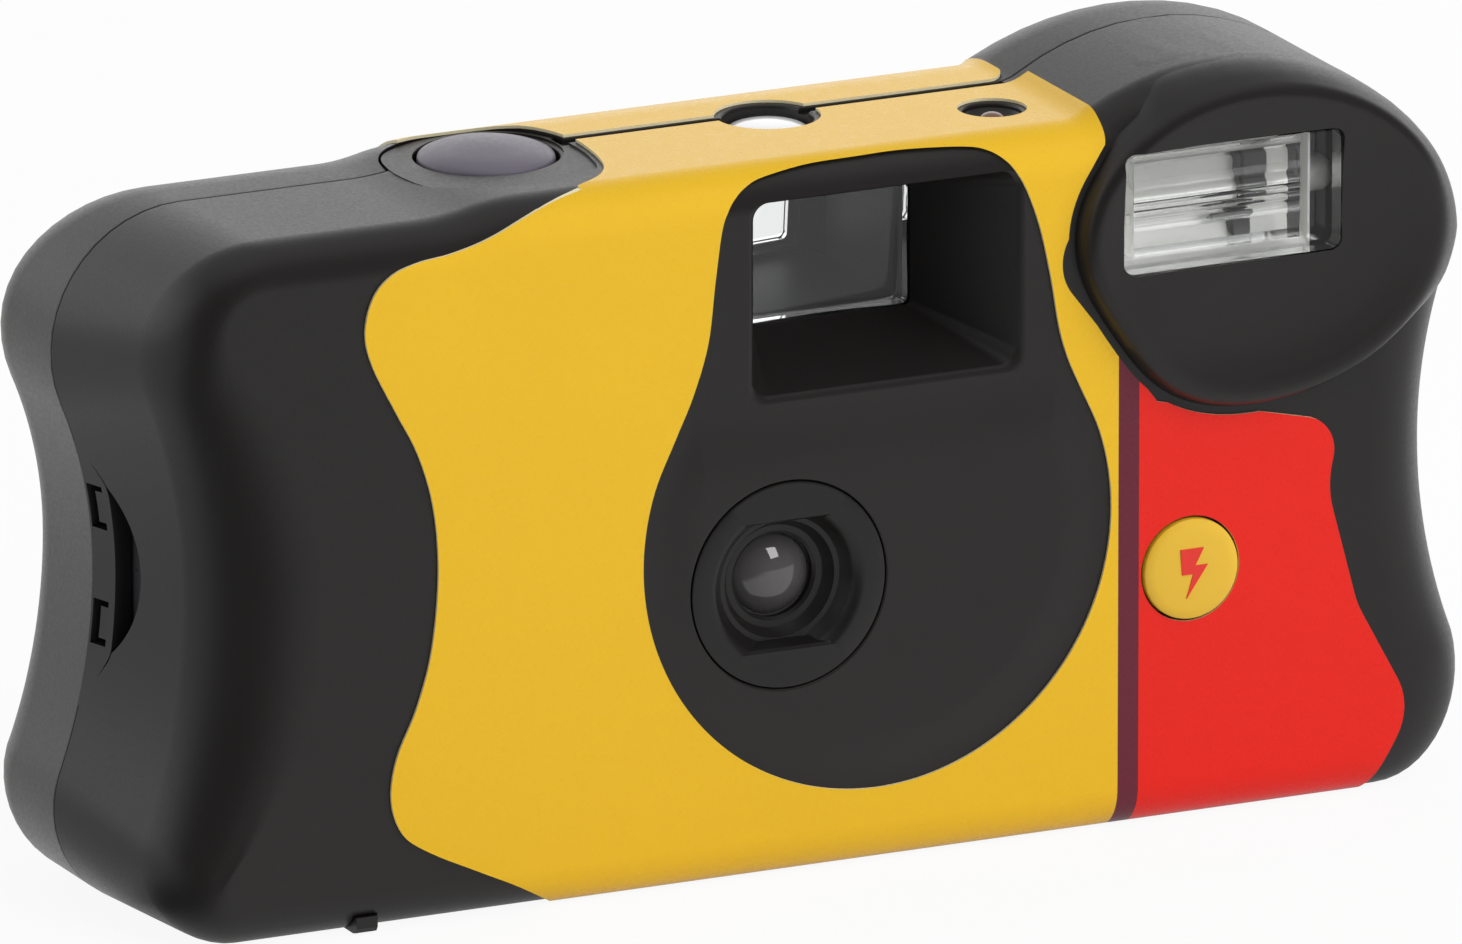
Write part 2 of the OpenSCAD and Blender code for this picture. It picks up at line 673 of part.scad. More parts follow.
label_path = [[-22, -2, 0], [20.2 - half_w, 8.5, 5], [26.3 - half_w, waist_z - 0.5, 25],
    [18.2 - half_w, grip_h - 4, 5.5], [-27.5, grip_h - 1.3, 8], [-label_top_left - 2, body_h, 0],
    [-label_top_left, body_h, 0], [-label_top_left, body_h + 2, 0], [label_top_right, body_h + 2, 0],
    [label_top_right, 40, 0], [head_x, head_z - head_b - 0.2, 0], [half_w - 13, waist_z + 3.2, 3],
    [half_w - 14.2, waist_z - 2, 8], [half_w - 11.5, 16, 8], [half_w - 6.6, 7, 5], [half_w - 11.5, -2, 0]];

module front_label() {
    cut_d = back_y - front_y;
    head_gap = 0.65;
    color([0.88, 0.72, 0.19]) intersection() {
        label_sheet(seam_y - 0.2, edge_round, front_y, 1, 60);
        difference() {
            translate([0, seam_y, 0]) rotate([90, 0, 0]) linear_extrude(cut_d) difference() {
                polygon(rounded_path(label_path));
                open_field();
                translate([flash_button_x, flash_button_z]) circle(flash_button_r + 0.6);
                polygon(head_oval(-head_gap, 40));
            }
            top_openings();
        }
    }
}

// Openings of both labels around the counter, the ready lamp and the button's deck
module top_openings() {
    rod_z(counter_x, counter_y, in_top, counter_hole_r + 0.3, wall + 2);
    rod_z(lamp_x, lamp_y, in_top, lamp_hole_r + 0.3, wall + 2);
    rod_z(button_x, button_y, in_top, deck_r + 0.4, wall + 2);
}

module rear_label() {
    rear_low = lens_z - 14;
    rear_left = button_x - 2;
    bend_z = body_h - back_top_round - 1;
    bend_right = label_top_right - 7;
    color([0.9, 0.74, 0.25]) difference() {
        intersection() {
            label_sheet(seam_y + 0.2, back_top_round, back_y, -1, 0);
            translate([0, back_y + 1, 0]) rotate([90, 0, 0]) linear_extrude(body_d)
                polygon(rounded_path([[-20, rear_low, 3], [label_top_right + 14, rear_low, 3],
                    [label_top_right + 14, bend_z - 6, 3], [bend_right, bend_z, 3],
                    [bend_right, body_h - 0.3, 0], [label_top_right - 1, body_h - 0.3, 0],
                    [label_top_right - 1, body_h + 1, 0], [rear_left, body_h + 1, 0],
                    [rear_left, body_h - 4, 2], [-20, bend_z - 6, 3]]));
        }
        top_openings();
        slab_y(vf_x, eye_z, eye_w + 2, eye_h + 2, 1.2, seam_y + 2, back_y + 1);
    }
}

module main_frame() {
    plate_y = frame_back - 1.4;
    mid_top = film_top + 0.2;
    arm_right = roll_x + 3;
    arm_left = roll_x - 12;
    arm_low = film_low - 2.6;
    arm_t = 1.4;
    color([0.13, 0.13, 0.14]) difference() {
        union() {
            box([sprocket_x - 6, plate_y, arm_low], [arm_left + 4, frame_back, mid_top]);
            box([arm_left, plate_y, arm_low], [arm_left + 4, frame_back, film_top + 2.8]);
            dark_box(1.2, plate_y + 0.1);
            difference() {
                box([vf_x - tunnel_w / 2, vf_back + 0.1, tunnel_low],
                    [vf_x + tunnel_w / 2, tunnel_back, tunnel_top]);
                box([vf_x - vf_w / 2 - fit_gap, vf_back - 1, vf_z - vf_h / 2 - fit_gap],
                    [vf_x + vf_w / 2 + fit_gap, tunnel_back + 1, vf_z + vf_h / 2 + fit_gap]);
            }
            box([vf_x - vf_w / 2, tunnel_back - 2, min(tunnel_low, mid_top - 1)],
                [vf_x + vf_w / 2, plate_y + 0.7, tunnel_low + vf_wall]);
            for (z = [arm_low, film_top + 2.8 - arm_t])
                box([arm_left, roll_y - 3, z], [arm_right, frame_back, z + arm_t]);
            box([cartridge_x - 11, cartridge_y - 10.8, shelf_low],
                [pawl_x + 1.2, cartridge_y + 10.4, shelf_low + shelf_t]);
            box([cartridge_x + 12, frame_back - 3.9, mid_top - 1],
                [cartridge_x + 14.5, frame_back - 1, shelf_low + shelf_t]);
            rod_z(pawl_x, pawl_y, shelf_low + shelf_t / 2, pivot_r, shelf_t / 2 + 2);
            rod_z(counter_wheel_x, counter_wheel_y, tunnel_top - 0.5, 1, 1.65);
            box([button_x - 4.2, button_y - 4.6, bracket_top - bracket_t],
                [vf_x - tunnel_w / 2 + 0.2, button_y - 0.8, bracket_top]);
            box([vf_x - tunnel_w / 2 - bracket_t, button_y - 4.6, bracket_top - bracket_t],
                [vf_x - tunnel_w / 2 + 0.2, button_y - 0.8, max(bracket_top, tunnel_low + vf_wall)]);
            rod_z(button_x, button_y, bracket_top - bracket_t, 4.2, bracket_t);
            box([sprocket_x - 5, sprocket_y - 4, sprocket_low - 2.6],
                [sprocket_x + 5, frame_back, sprocket_low - 0.8]);
            rod_z(lever_x, lever_y, lens_z + 5, 1.5, lever_low - run_gap - lens_z - 5);
            rod_z(lever_x, lever_y, lens_z + 5, pivot_r, lever_low - lens_z - 5 + 1.6);
            rod_y(lens_x + blade_dx, blade_y - 0.2, lens_z + blade_dz, pivot_r, plate_front - blade_y + 0.7);
        }
        dark_room(plate_y);
        rod_y(lens_x, plate_front - 1, lens_z, 2.2, plate_t + 2);
        rod_z(roll_x, roll_y, arm_low - 1, core_r - 1 + shaft_gap, film_w + 10);
        rod_z(cartridge_x, cartridge_y, shelf_low - 1, hub_r + shaft_gap, shelf_t + 2);
        rod_z(sprocket_x, sprocket_y, sprocket_low - 4, 1.2 + shaft_gap, 4);
        rod_z(sprocket_x, sprocket_y, sprocket_low - 0.6, sprocket_r + run_gap, 4);
        rod_z(button_x, button_y, bracket_top - bracket_t - 1, stem_r + run_gap, bracket_t + 2);
    }
}

// Light-tight box from the film gate to the plate behind the lens, and its hollow
front_plate_w = 16;
front_plate_h = 12.2;
module dark_box(t, y1) {
    thin = 0.01;
    hull() {
        translate([lens_x - front_plate_w / 2, plate_front, lens_z - front_plate_h / 2])
            cube([front_plate_w, thin, front_plate_h]);
        translate([lens_x - gate_w / 2 - t, y1 - thin, lens_z - gate_h / 2 - t])
            cube([gate_w + 2 * t, thin, gate_h + 2 * t]);
    }
}

module dark_room(y1) {
    hull() {
        translate([lens_x - front_plate_w / 2 + 1.5, plate_front + plate_t, lens_z - front_plate_h / 2 + 1.5])
            cube([front_plate_w - 3, 0.01, front_plate_h - 3]);
        translate([lens_x - gate_w / 2, y1, lens_z - gate_h / 2]) cube([gate_w, 2, gate_h]);
    }
}

module shutter_button() {
    flat_r = 1;
    dome = [for (i = [0 : 8]) let (a = 90 * i / 8)
        [button_r - flat_r - (button_r - flat_r) * sin(a) + flat_r * cos(a),
            deck_top + 0.5 + (button_up - 0.5) * sin(a)]];
    color([0.35, 0.34, 0.38]) translate([button_x, button_y, 0]) rotate_extrude()
        polygon(concat([[0, stem_low], [stem_r, stem_low], [stem_r, flange_low], [button_r + 1.1, flange_low],
            [button_r + 1.1, flange_low + flange_t], [button_r, flange_low + flange_t]],
            [for (p = dome) [max(p[0], 0), p[1]]]));
}

module button_spring() {
    color("silver") difference() {
        rod_z(button_x, button_y, bracket_top, stem_r + 1.1, flange_low - bracket_top);
        rod_z(button_x, button_y, bracket_top - 1, stem_r + run_gap, flange_low - bracket_top + 2);
    }
}

module counter_window() {
    color([0.9, 0.92, 0.93, 0.5]) {
        rod_z(counter_x, counter_y, in_top - 0.5, counter_hole_r - fit_gap, wall - 0.4);
        difference() {
            rod_z(counter_x, counter_y, in_top - 0.5, counter_hole_r + 0.8, 0.45);
            rod_z(button_x, button_y, in_top - 1, deck_r + fit_gap, 2);
        }
    }
}

module counter_wheel() {
    color([0.1, 0.1, 0.1]) difference() {
        rod_z(counter_wheel_x, counter_wheel_y, tunnel_top + 0.25, counter_wheel_r, 0.7);
        rod_z(counter_wheel_x, counter_wheel_y, tunnel_top - 1, 1 + shaft_gap, 4);
    }
}

module ready_lamp_lens() {
    flange_r = pipe_r + 0.8;
    color([0.55, 0.35, 0.25]) translate([lamp_x, lamp_y, 0]) rotate_extrude()
        polygon(concat([[0, in_top - 3], [pipe_r, in_top - 3], [pipe_r, in_top - 1.1],
            [flange_r, in_top - 1.1], [flange_r, in_top - 0.05], [pipe_r, in_top - 0.05]],
            [for (i = [0 : 6]) [pipe_r * cos(15 * i), body_h - 1 + 0.9 * sin(15 * i)]]));
}

module ready_lamp() {
    color([0.95, 0.55, 0.35]) rod_z(lamp_x, board_back + 0.05 + 1.5, in_top - 9.6, 1.5, 6.3);
}

module flash_window() {
    color([0.85, 0.88, 0.88, 0.5]) {
        slab_y(window_x, window_z, window_w - 2 * fit_gap, window_h - 2 * fit_gap, 0.6,
            front_y - 0.7, in_front + 0.5);
        slab_y(window_x, window_z, window_w + 2 * (flange_w - fit_gap), window_h + 2 * (flange_w - fit_gap),
            0.6, in_front + 0.05, in_front + 1);
    }
}

reflector_front = in_front + 1.1;
reflector_d = 6.5;
module flash_reflector() {
    color([0.85, 0.85, 0.87]) difference() {
        box([window_x - window_w / 2 - 0.4, reflector_front, window_z - window_h / 2 - 0.4],
            [window_x + window_w / 2 + 0.4, reflector_front + reflector_d, window_z + window_h / 2 + 0.4]);
        translate([window_x - window_w / 2 + 0.3, reflector_front, window_z]) rotate([0, 90, 0])
            cylinder(r = window_h / 2 - 0.2, h = window_w - 0.6);
        translate([window_x - window_w / 2 - 1, reflector_front + 2.6, window_z]) rotate([0, 90, 0])
            cylinder(r = 1.5 + shaft_gap, h = window_w + 2);
    }
}

module flash_tube() {
    end_out = 1.1;
    color([0.93, 0.95, 0.95]) translate([window_x - window_w / 2 - end_out, reflector_front + 2.6, window_z])
        rotate([0, 90, 0]) cylinder(r = 1.5, h = window_w + 2 * end_out);
}

module flash_button() {
    cap = 0.8;
    flange_y = in_front + 0.05;
    color([0.9, 0.75, 0.2]) translate([flash_button_x, 0, flash_button_z]) rotate([90, 0, 0]) rotate_extrude()
        polygon(concat([[0, -flange_y - 2.2], [1.5, -flange_y - 2.2], [1.5, -flange_y - 1],
            [flash_button_r + 1.2, -flange_y - 1], [flash_button_r + 1.2, -flange_y],
            [flash_button_r, -flange_y], [flash_button_r, cap - 0.4 - front_y]],
            [for (i = [1 : 4]) [(flash_button_r - 0.3) * cos(22.5 * i),
                cap - front_y - 0.3 + 0.3 * sin(22.5 * i)]]));
}

module flash_contact() {
    leaf_w = 3;
    leaf_t = 0.3;
    leaf_y = in_front + 0.05 + 2.2 + flash_travel + 0.1;
    foot_z = flash_button_z + 5;
    color([0.75, 0.6, 0.3]) {
        box([flash_button_x - leaf_w / 2, leaf_y, flash_button_z - 3],
            [flash_button_x + leaf_w / 2, leaf_y + leaf_t, foot_z]);
        box([flash_button_x - leaf_w / 2, leaf_y, foot_z],
            [flash_button_x + leaf_w / 2, board_y, foot_z + 2]);
    }
}

module circuit_board() {
    notch_z = cell_z + cell_r + 1;
    tab_top = in_top - 3.3;
    color([0.75, 0.62, 0.36]) {
        box([cell_right + 2, board_y, wall + 3.4], [board_right, board_back, notch_z]);
        box([board_left, board_y, notch_z], [board_right, board_back, board_top]);
        box([lamp_x - 2, board_y, board_top - 1], [lamp_x + 3, board_back, tab_top]);
    }
}

module capacitor() {
    can_r = 4;
    can_low = cell_z + cell_r + 2.2;
    color([0.15, 0.16, 0.2]) rod_z(board_left + can_r + 0.5, board_back + 0.05 + can_r, can_low, can_r,
        board_top - 0.75 - can_low);
}

module transformer() {
    color([0.7, 0.55, 0.2]) box([half_w - 13, board_back + 0.05, wall + 3.9],
        [half_w - 4.5, roll_y - sqrt(roll_r * roll_r - 20) - 0.5, wall + 12.4]);
}

module trigger_coil() {
    coil_r = 1.5;
    color([0.6, 0.3, 0.15]) rod_z(board_left + 10.5, board_back + 0.05 + coil_r, lens_z, coil_r, 9);
}

module battery() {
    nub = 1;
    color([0.25, 0.25, 0.28]) translate([cell_left, cell_y, cell_z]) rotate([0, 90, 0]) {
        cylinder(r = cell_r, h = cell_l - nub);
        cylinder(r = 2.7, h = cell_l);
    }
}

// Contact plate at one end of the cell, between the front cover and the film roll
module battery_contact(x, t) {
    box([x, in_front + 0.05, wall + 2], [x + t, roll_y - roll_r - run_gap, cell_z + 4.5]);
}

module battery_contact_plus() {
    color("silver") battery_contact(cell_right + 0.1, 0.4);
}

module battery_contact_minus() {
    color("silver") battery_contact(cell_left - 0.5, 0.4);
}

module lens_ring() {
    mouth_r = 5.7;
    neck_r = 3.5;
    color([0.16, 0.15, 0.15]) difference() {
        rod_y(lens_x, ring_front, lens_z, ring_r, ring_back - ring_front);
        intersection() {
            translate([lens_x, ring_front - 0.01, lens_z]) rotate([-90, 0, 0])
                cylinder(r1 = mouth_r, r2 = neck_r, h = ring_back - ring_front + 0.02);
            box([lens_x - ring_r, ring_front - 1, lens_z - 5], [lens_x + ring_r, ring_back + 1, lens_z + 5]);
        }
        rod_y(lens_x, ring_back - 0.7, lens_z, lens_r + 0.1, 2);
    }
}

module taking_lens() {
    bulge = 0.6;
    hollow = 0.5;
    edge = seat_y - 0.05 - ring_back;
    function cap(h, i) = let (r = lens_r * i / 8) [r, h * (1 - pow(i / 8, 2))];
    color([0.3, 0.35, 0.4, 0.6]) translate([lens_x, ring_back + 0.05, lens_z]) rotate([90, 0, 0])
        rotate_extrude() polygon(concat(
            [for (i = [0 : 7]) [cap(hollow, i)[0], cap(hollow, i)[1] - edge + 0.05]],
            [[lens_r, 0.05 - edge]], [for (i = [8 : -1 : 0]) cap(bulge, i)]));
}

module shutter_blade() {
    far = norm([blade_dx, blade_dz]);
    color([0.3, 0.3, 0.32]) difference() {
        translate([lens_x, blade_y + blade_t, lens_z]) rotate([90, 0, 0]) linear_extrude(blade_t) {
            circle(3.4);
            translate([blade_dx, blade_dz]) circle(2);
            rotate(atan2(blade_dz, blade_dx)) translate([0, -1.4]) square([far, 2.8]);
        }
        rod_y(lens_x + blade_dx, blade_y - 1, lens_z + blade_dz, pivot_r + shaft_gap, 3);
    }
}

module shutter_spring() {
    y0 = blade_y + blade_t + 0.1;
    color("silver") difference() {
        rod_y(lens_x + blade_dx, y0, lens_z + blade_dz, pivot_r + 1, plate_front - 0.05 - y0);
        rod_y(lens_x + blade_dx, y0 - 1, lens_z + blade_dz, pivot_r + 0.1, 3);
    }
}

module release_lever() {
    tip_x = button_x - lever_x - 0.5;
    lever_t = 1.2;
    color([0.4, 0.4, 0.42]) difference() {
        union() {
            rod_z(lever_x, lever_y, lever_low, 2, lever_t);
            translate([lever_x, lever_y, lever_low]) linear_extrude(lever_t)
                polygon([[tip_x, 3.4], [tip_x, 1.4], [-1.2, -1], [0.2, -4.2], [1.6, -4.2], [1.4, 0.4],
                    [0, 1.7]]);
        }
        rod_z(lever_x, lever_y, lever_low - 1, pivot_r + shaft_gap, lever_t + 2);
    }
}

module release_spring() {
    color("silver") difference() {
        rod_z(lever_x, lever_y, lever_low - run_gap - 4, 2.3, 3.9);
        rod_z(lever_x, lever_y, lever_low - run_gap - 5, 1.6, 6);
    }
}

module viewfinder_front_lens() {
    color([0.7, 0.8, 0.85, 0.5]) box([vf_x - vf_w / 2, vf_back + 0.2, vf_z - vf_h / 2],
        [vf_x + vf_w / 2, vf_back + 1.6, vf_z + vf_h / 2]);
}

module viewfinder_eyepiece() {
    color([0.7, 0.8, 0.85, 0.5]) {
        slab_y(vf_x, eye_z, eye_w - 2 * fit_gap, eye_h - 2 * fit_gap, 0.6, eye_front - 0.5, in_back + 0.4);
        slab_y(vf_x, eye_z, eye_w + 2, eye_h + 1.6, 0.6, eye_front - 0.9, eye_front - 0.05);
    }
}

module film_cartridge() {
    shell = 0.6;
    color([0.2, 0.35, 0.3]) difference() {
        rod_z(cartridge_x, cartridge_y, cartridge_low, cartridge_r, cartridge_l);
        rod_z(cartridge_x, cartridge_y, cartridge_low + shell, cartridge_r - shell, cartridge_l - 2 * shell);
        rod_z(cartridge_x, cartridge_y, cartridge_low - 1, 3.8, cartridge_l + 2);
    }
}

module cartridge_spool() {
    color([0.1, 0.1, 0.1]) difference() {
        union() {
            rod_z(cartridge_x, cartridge_y, cartridge_low + 0.8, 5.4, cartridge_l - 1.6);
            rod_z(cartridge_x, cartridge_y, cartridge_low - 0.4, 3.4, cartridge_l + 0.6);
        }
        box([cartridge_x - 2.6, cartridge_y - 0.75, cartridge_top - 2.5],
            [cartridge_x + 2.6, cartridge_y + 0.75, cartridge_top + 1]);
    }
}

module film_strip() {
    pitch = 4.75;
    mouth_x = cartridge_x + 3.6;
    end_x = roll_x - 1;
    holes = floor((end_x - mouth_x) / pitch) - 1;
    color([0.45, 0.3, 0.25]) difference() {
        box([mouth_x, film_y - film_t / 2, film_low], [end_x, film_y + film_t / 2, film_top]);
        for (i = [0 : holes - 1], s = [-1, 1])
            box([mouth_x + 1.5 + i * pitch, film_y - 1, lens_z + s * 14 - 1.4],
                [mouth_x + 3.5 + i * pitch, film_y + 1, lens_z + s * 14 + 1.4]);
    }
}

module film_roll() {
    color([0.45, 0.3, 0.25]) difference() {
        rod_z(roll_x, roll_y, film_low, roll_r, film_w);
        rod_z(roll_x, roll_y, film_low - 1, core_r + 0.02, film_w + 2);
    }
}

module supply_spool() {
    color([0.12, 0.12, 0.12]) {
        rod_z(roll_x, roll_y, film_low - 0.6, core_r, film_w + 1.2);
        rod_z(roll_x, roll_y, film_low - 2.4, core_r - 1, film_w + 4.8);
    }
}

module thumbwheel() {
    color([0.18, 0.18, 0.18]) translate([cartridge_x, cartridge_y, 0]) {
        difference() {
            rod_z(0, 0, wheel_low, thumbwheel_r, wheel_t);
            for (i = [0 : thumbwheel_grips - 1]) rotate(360 * i / thumbwheel_grips)
                rod_z(thumbwheel_r + 0.15, 0, wheel_low - 1, 0.45, wheel_t + 2);
        }
        rod_z(0, 0, shelf_low + 0.1, hub_r, wheel_low - shelf_low);
        box([-2.5, -0.65, cartridge_top - 1.5], [2.5, 0.65, shelf_low + 0.2]);
    }
}

module ratchet_pawl() {
    tip = [cartridge_x - pawl_x + thumbwheel_r * cos(40) + 0.35,
        cartridge_y - pawl_y - thumbwheel_r * sin(40) - 0.35];
    color([0.5, 0.5, 0.52]) difference() {
        translate([pawl_x, pawl_y, wheel_low]) linear_extrude(1.2) {
            circle(1.8);
            polygon([[0, -1.4], [0, 0.9], tip, [tip[0], tip[1] - 1.2]]);
        }
        rod_z(pawl_x, pawl_y, wheel_low - 1, pivot_r + shaft_gap, 4);
    }
}

module sprocket_wheel() {
    color([0.85, 0.85, 0.82]) translate([sprocket_x, sprocket_y, 0]) {
        rod_z(0, 0, sprocket_low - 0.4, sprocket_r - 0.7, 1.6);
        for (i = [0 : sprocket_teeth - 1]) rotate(360 * i / sprocket_teeth)
            translate([0, -0.6, sprocket_low - 0.1]) cube([sprocket_r - 0.1, 1.2, 1]);
        rod_z(0, 0, sprocket_low - 2.4, 1.2, 4);
    }
}

// Door with a round rear edge that it turns on
module film_door() {
    edge_r = door_t / 2;
    color([0.21, 0.2, 0.2]) {
        box([cartridge_x - door_w / 2, door_front, door_low],
            [cartridge_x + door_w / 2, door_back - edge_r, door_low + door_t]);
        translate([cartridge_x - door_w / 2, door_back - edge_r, door_low + edge_r]) rotate([0, 90, 0])
            cylinder(r = edge_r, h = door_w);
        box([door_tab_x - door_tab_w / 2, front_y + 0.2, door_low],
            [door_tab_x + door_tab_w / 2, door_front + 0.1, door_low + door_t]);
    }
}

front_cover();
back_cover();
front_label();
rear_label();
main_frame();
shutter_button();
button_spring();
counter_window();
counter_wheel();
ready_lamp_lens();
ready_lamp();
flash_window();
flash_reflector();
flash_tube();
flash_button();
flash_contact();
circuit_board();
capacitor();
transformer();
trigger_coil();
battery();
battery_contact_plus();
battery_contact_minus();
lens_ring();
taking_lens();
shutter_blade();
shutter_spring();
release_lever();
release_spring();
viewfinder_front_lens();
viewfinder_eyepiece();
film_cartridge();
cartridge_spool();
film_strip();
film_roll();
supply_spool();
thumbwheel();
ratchet_pawl();
sprocket_wheel();
film_door();
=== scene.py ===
import math

import bmesh
import bpy
import numpy as np
from mathutils import Matrix, Vector
from mathutils.bvhtree import BVHTree


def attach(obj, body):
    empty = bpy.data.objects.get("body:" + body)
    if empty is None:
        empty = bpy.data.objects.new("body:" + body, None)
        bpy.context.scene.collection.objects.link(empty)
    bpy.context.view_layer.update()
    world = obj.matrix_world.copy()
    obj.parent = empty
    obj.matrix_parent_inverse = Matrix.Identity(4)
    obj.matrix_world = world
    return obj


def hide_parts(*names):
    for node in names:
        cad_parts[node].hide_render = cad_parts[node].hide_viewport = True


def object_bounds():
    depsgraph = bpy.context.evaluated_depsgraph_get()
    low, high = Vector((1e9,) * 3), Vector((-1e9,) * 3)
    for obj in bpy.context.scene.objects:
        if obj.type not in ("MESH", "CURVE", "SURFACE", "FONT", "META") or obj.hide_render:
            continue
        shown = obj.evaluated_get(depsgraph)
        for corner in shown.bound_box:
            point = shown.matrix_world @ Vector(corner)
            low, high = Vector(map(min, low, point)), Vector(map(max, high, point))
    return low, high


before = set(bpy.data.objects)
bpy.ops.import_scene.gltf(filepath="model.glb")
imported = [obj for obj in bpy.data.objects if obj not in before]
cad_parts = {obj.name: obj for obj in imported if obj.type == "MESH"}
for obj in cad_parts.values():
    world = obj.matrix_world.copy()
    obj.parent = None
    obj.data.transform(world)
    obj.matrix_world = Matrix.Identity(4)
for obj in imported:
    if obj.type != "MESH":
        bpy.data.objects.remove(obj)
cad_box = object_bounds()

rad = math.radians

# Sizes in millimetres, as in the part's source
half_w, body_h, body_d, wall = 58.5, 57.5, 30.0, 1.6
grip_drop, bulge_up = 1.0, 3.75
waist_in, waist_z, low_r, top_r = 3.5, 28.0, 8.5, 11.0
label_t = 0.25
lens_x, lens_z, mound_h, mound_r = -2.7, 24.0, 0.4, 19.6
lens_at = (lens_x, 0, lens_z)
ring_r, lens_r = 8.4, 4.6
vf_w, vf_h, vf_x, vf_d, vf_flare = 14.2, 10.0, 4.7, 8.0, 9.0
head_x, head_a, head_b = 37.4, 17.4, 13.6
window_w, window_h = 19.3, 10.1
flash_button_r, button_r, button_up = 4.1, 5.45, 1.3
run_gap, fit_gap, seam_soft = 0.3, 0.15, 0.16
head_up = 2.0
front_y = head_up - (body_d + head_up + label_t) / 2
back_y = front_y + body_d
seam_y = front_y + 15.8
in_front, in_back, in_top = front_y + wall, back_y - wall, body_h - wall
grip_h, bulge_h = body_h - grip_drop, body_h + bulge_up
front_w, front_d = (8.0, 7.0, 3.5, 3.5), (8.3, 7.0, 3.5, 3.5)
grip_draft, grip_dip, grip_tight, grip_start = 2.3, 4.5, 0.7, 20.0
back_w = (6.0, 6.0, 11.0, 6.0)
cartridge_x, cartridge_y, thumbwheel_r = 18 - half_w, back_y - 2.9 - 12.3 + 0.25, 12.9
cartridge_at = (cartridge_x, cartridge_y, 0)
wheel_low, wheel_t = 47.2, 4.0
vf_z = in_top - 3.1 - vf_h / 2
vf_back = front_y + vf_d
mouth_shift = 1.3
mouth_low, mouth_top = vf_z - vf_h / 2 - 3.6, vf_z + vf_h / 2 + 2.3
mouth_left = vf_x - (vf_w + vf_flare) / 2 + mouth_shift
head_z = body_h - 10.6
window_x, window_z = head_x - 2, head_z + 3.7
flash_button_x, flash_button_z = half_w - 26.2, lens_z - 3.2
flash_at = (flash_button_x, 0, flash_button_z)
button_x, button_y = 37.2 - half_w, seam_y - 0.3
deck_top, deck_t = body_h - grip_drop / 2, 2.4
counter_x, counter_y, counter_hole_r = 2.5, seam_y - 1.4, 3.6
counter_wheel_x, counter_wheel_y, counter_wheel_r, counter_wheel_z = 7.0, counter_y + 0.3, 7.9, 54.4
lamp_x, lamp_y, lamp_hole_r, pipe_r = head_x - 18.2, front_y + 8.6, 2.3, 1.2
ring_front, ring_back = front_y - mound_h, front_y + 2.3
seat_y = front_y + 3.4
barrel_back = seat_y + 0.6
mound_x, mound_z = lens_x + 7.8, lens_z + 2.7
tongue_z, tongue_front = waist_z, seam_y - 2.6
eye_w, eye_h, eye_z, eye_front = 8.6, 6.4, vf_z - 0.6, in_back - 1.5
door_w, door_front, door_back = 21.0, cartridge_y - 10.5, cartridge_y + 9.5
door_low, door_t, door_tab_w, door_tab_x = 0.1, 1.4, 1.8, cartridge_x + 1.7
ARC = 14
above = 63.0


def arc(x, z, r, a0, a1, out=1):
    a = np.radians(np.linspace(a0, a1, ARC + 1))
    return np.stack([x + r * np.cos(a), z + r * np.sin(a), out * np.cos(a), out * np.sin(a)], 1)


def hollow_r(d, dz, r):
    return (d * d + dz * dz) / (2 * d) - r


def deg(f, *v):
    return math.degrees(f(*v))


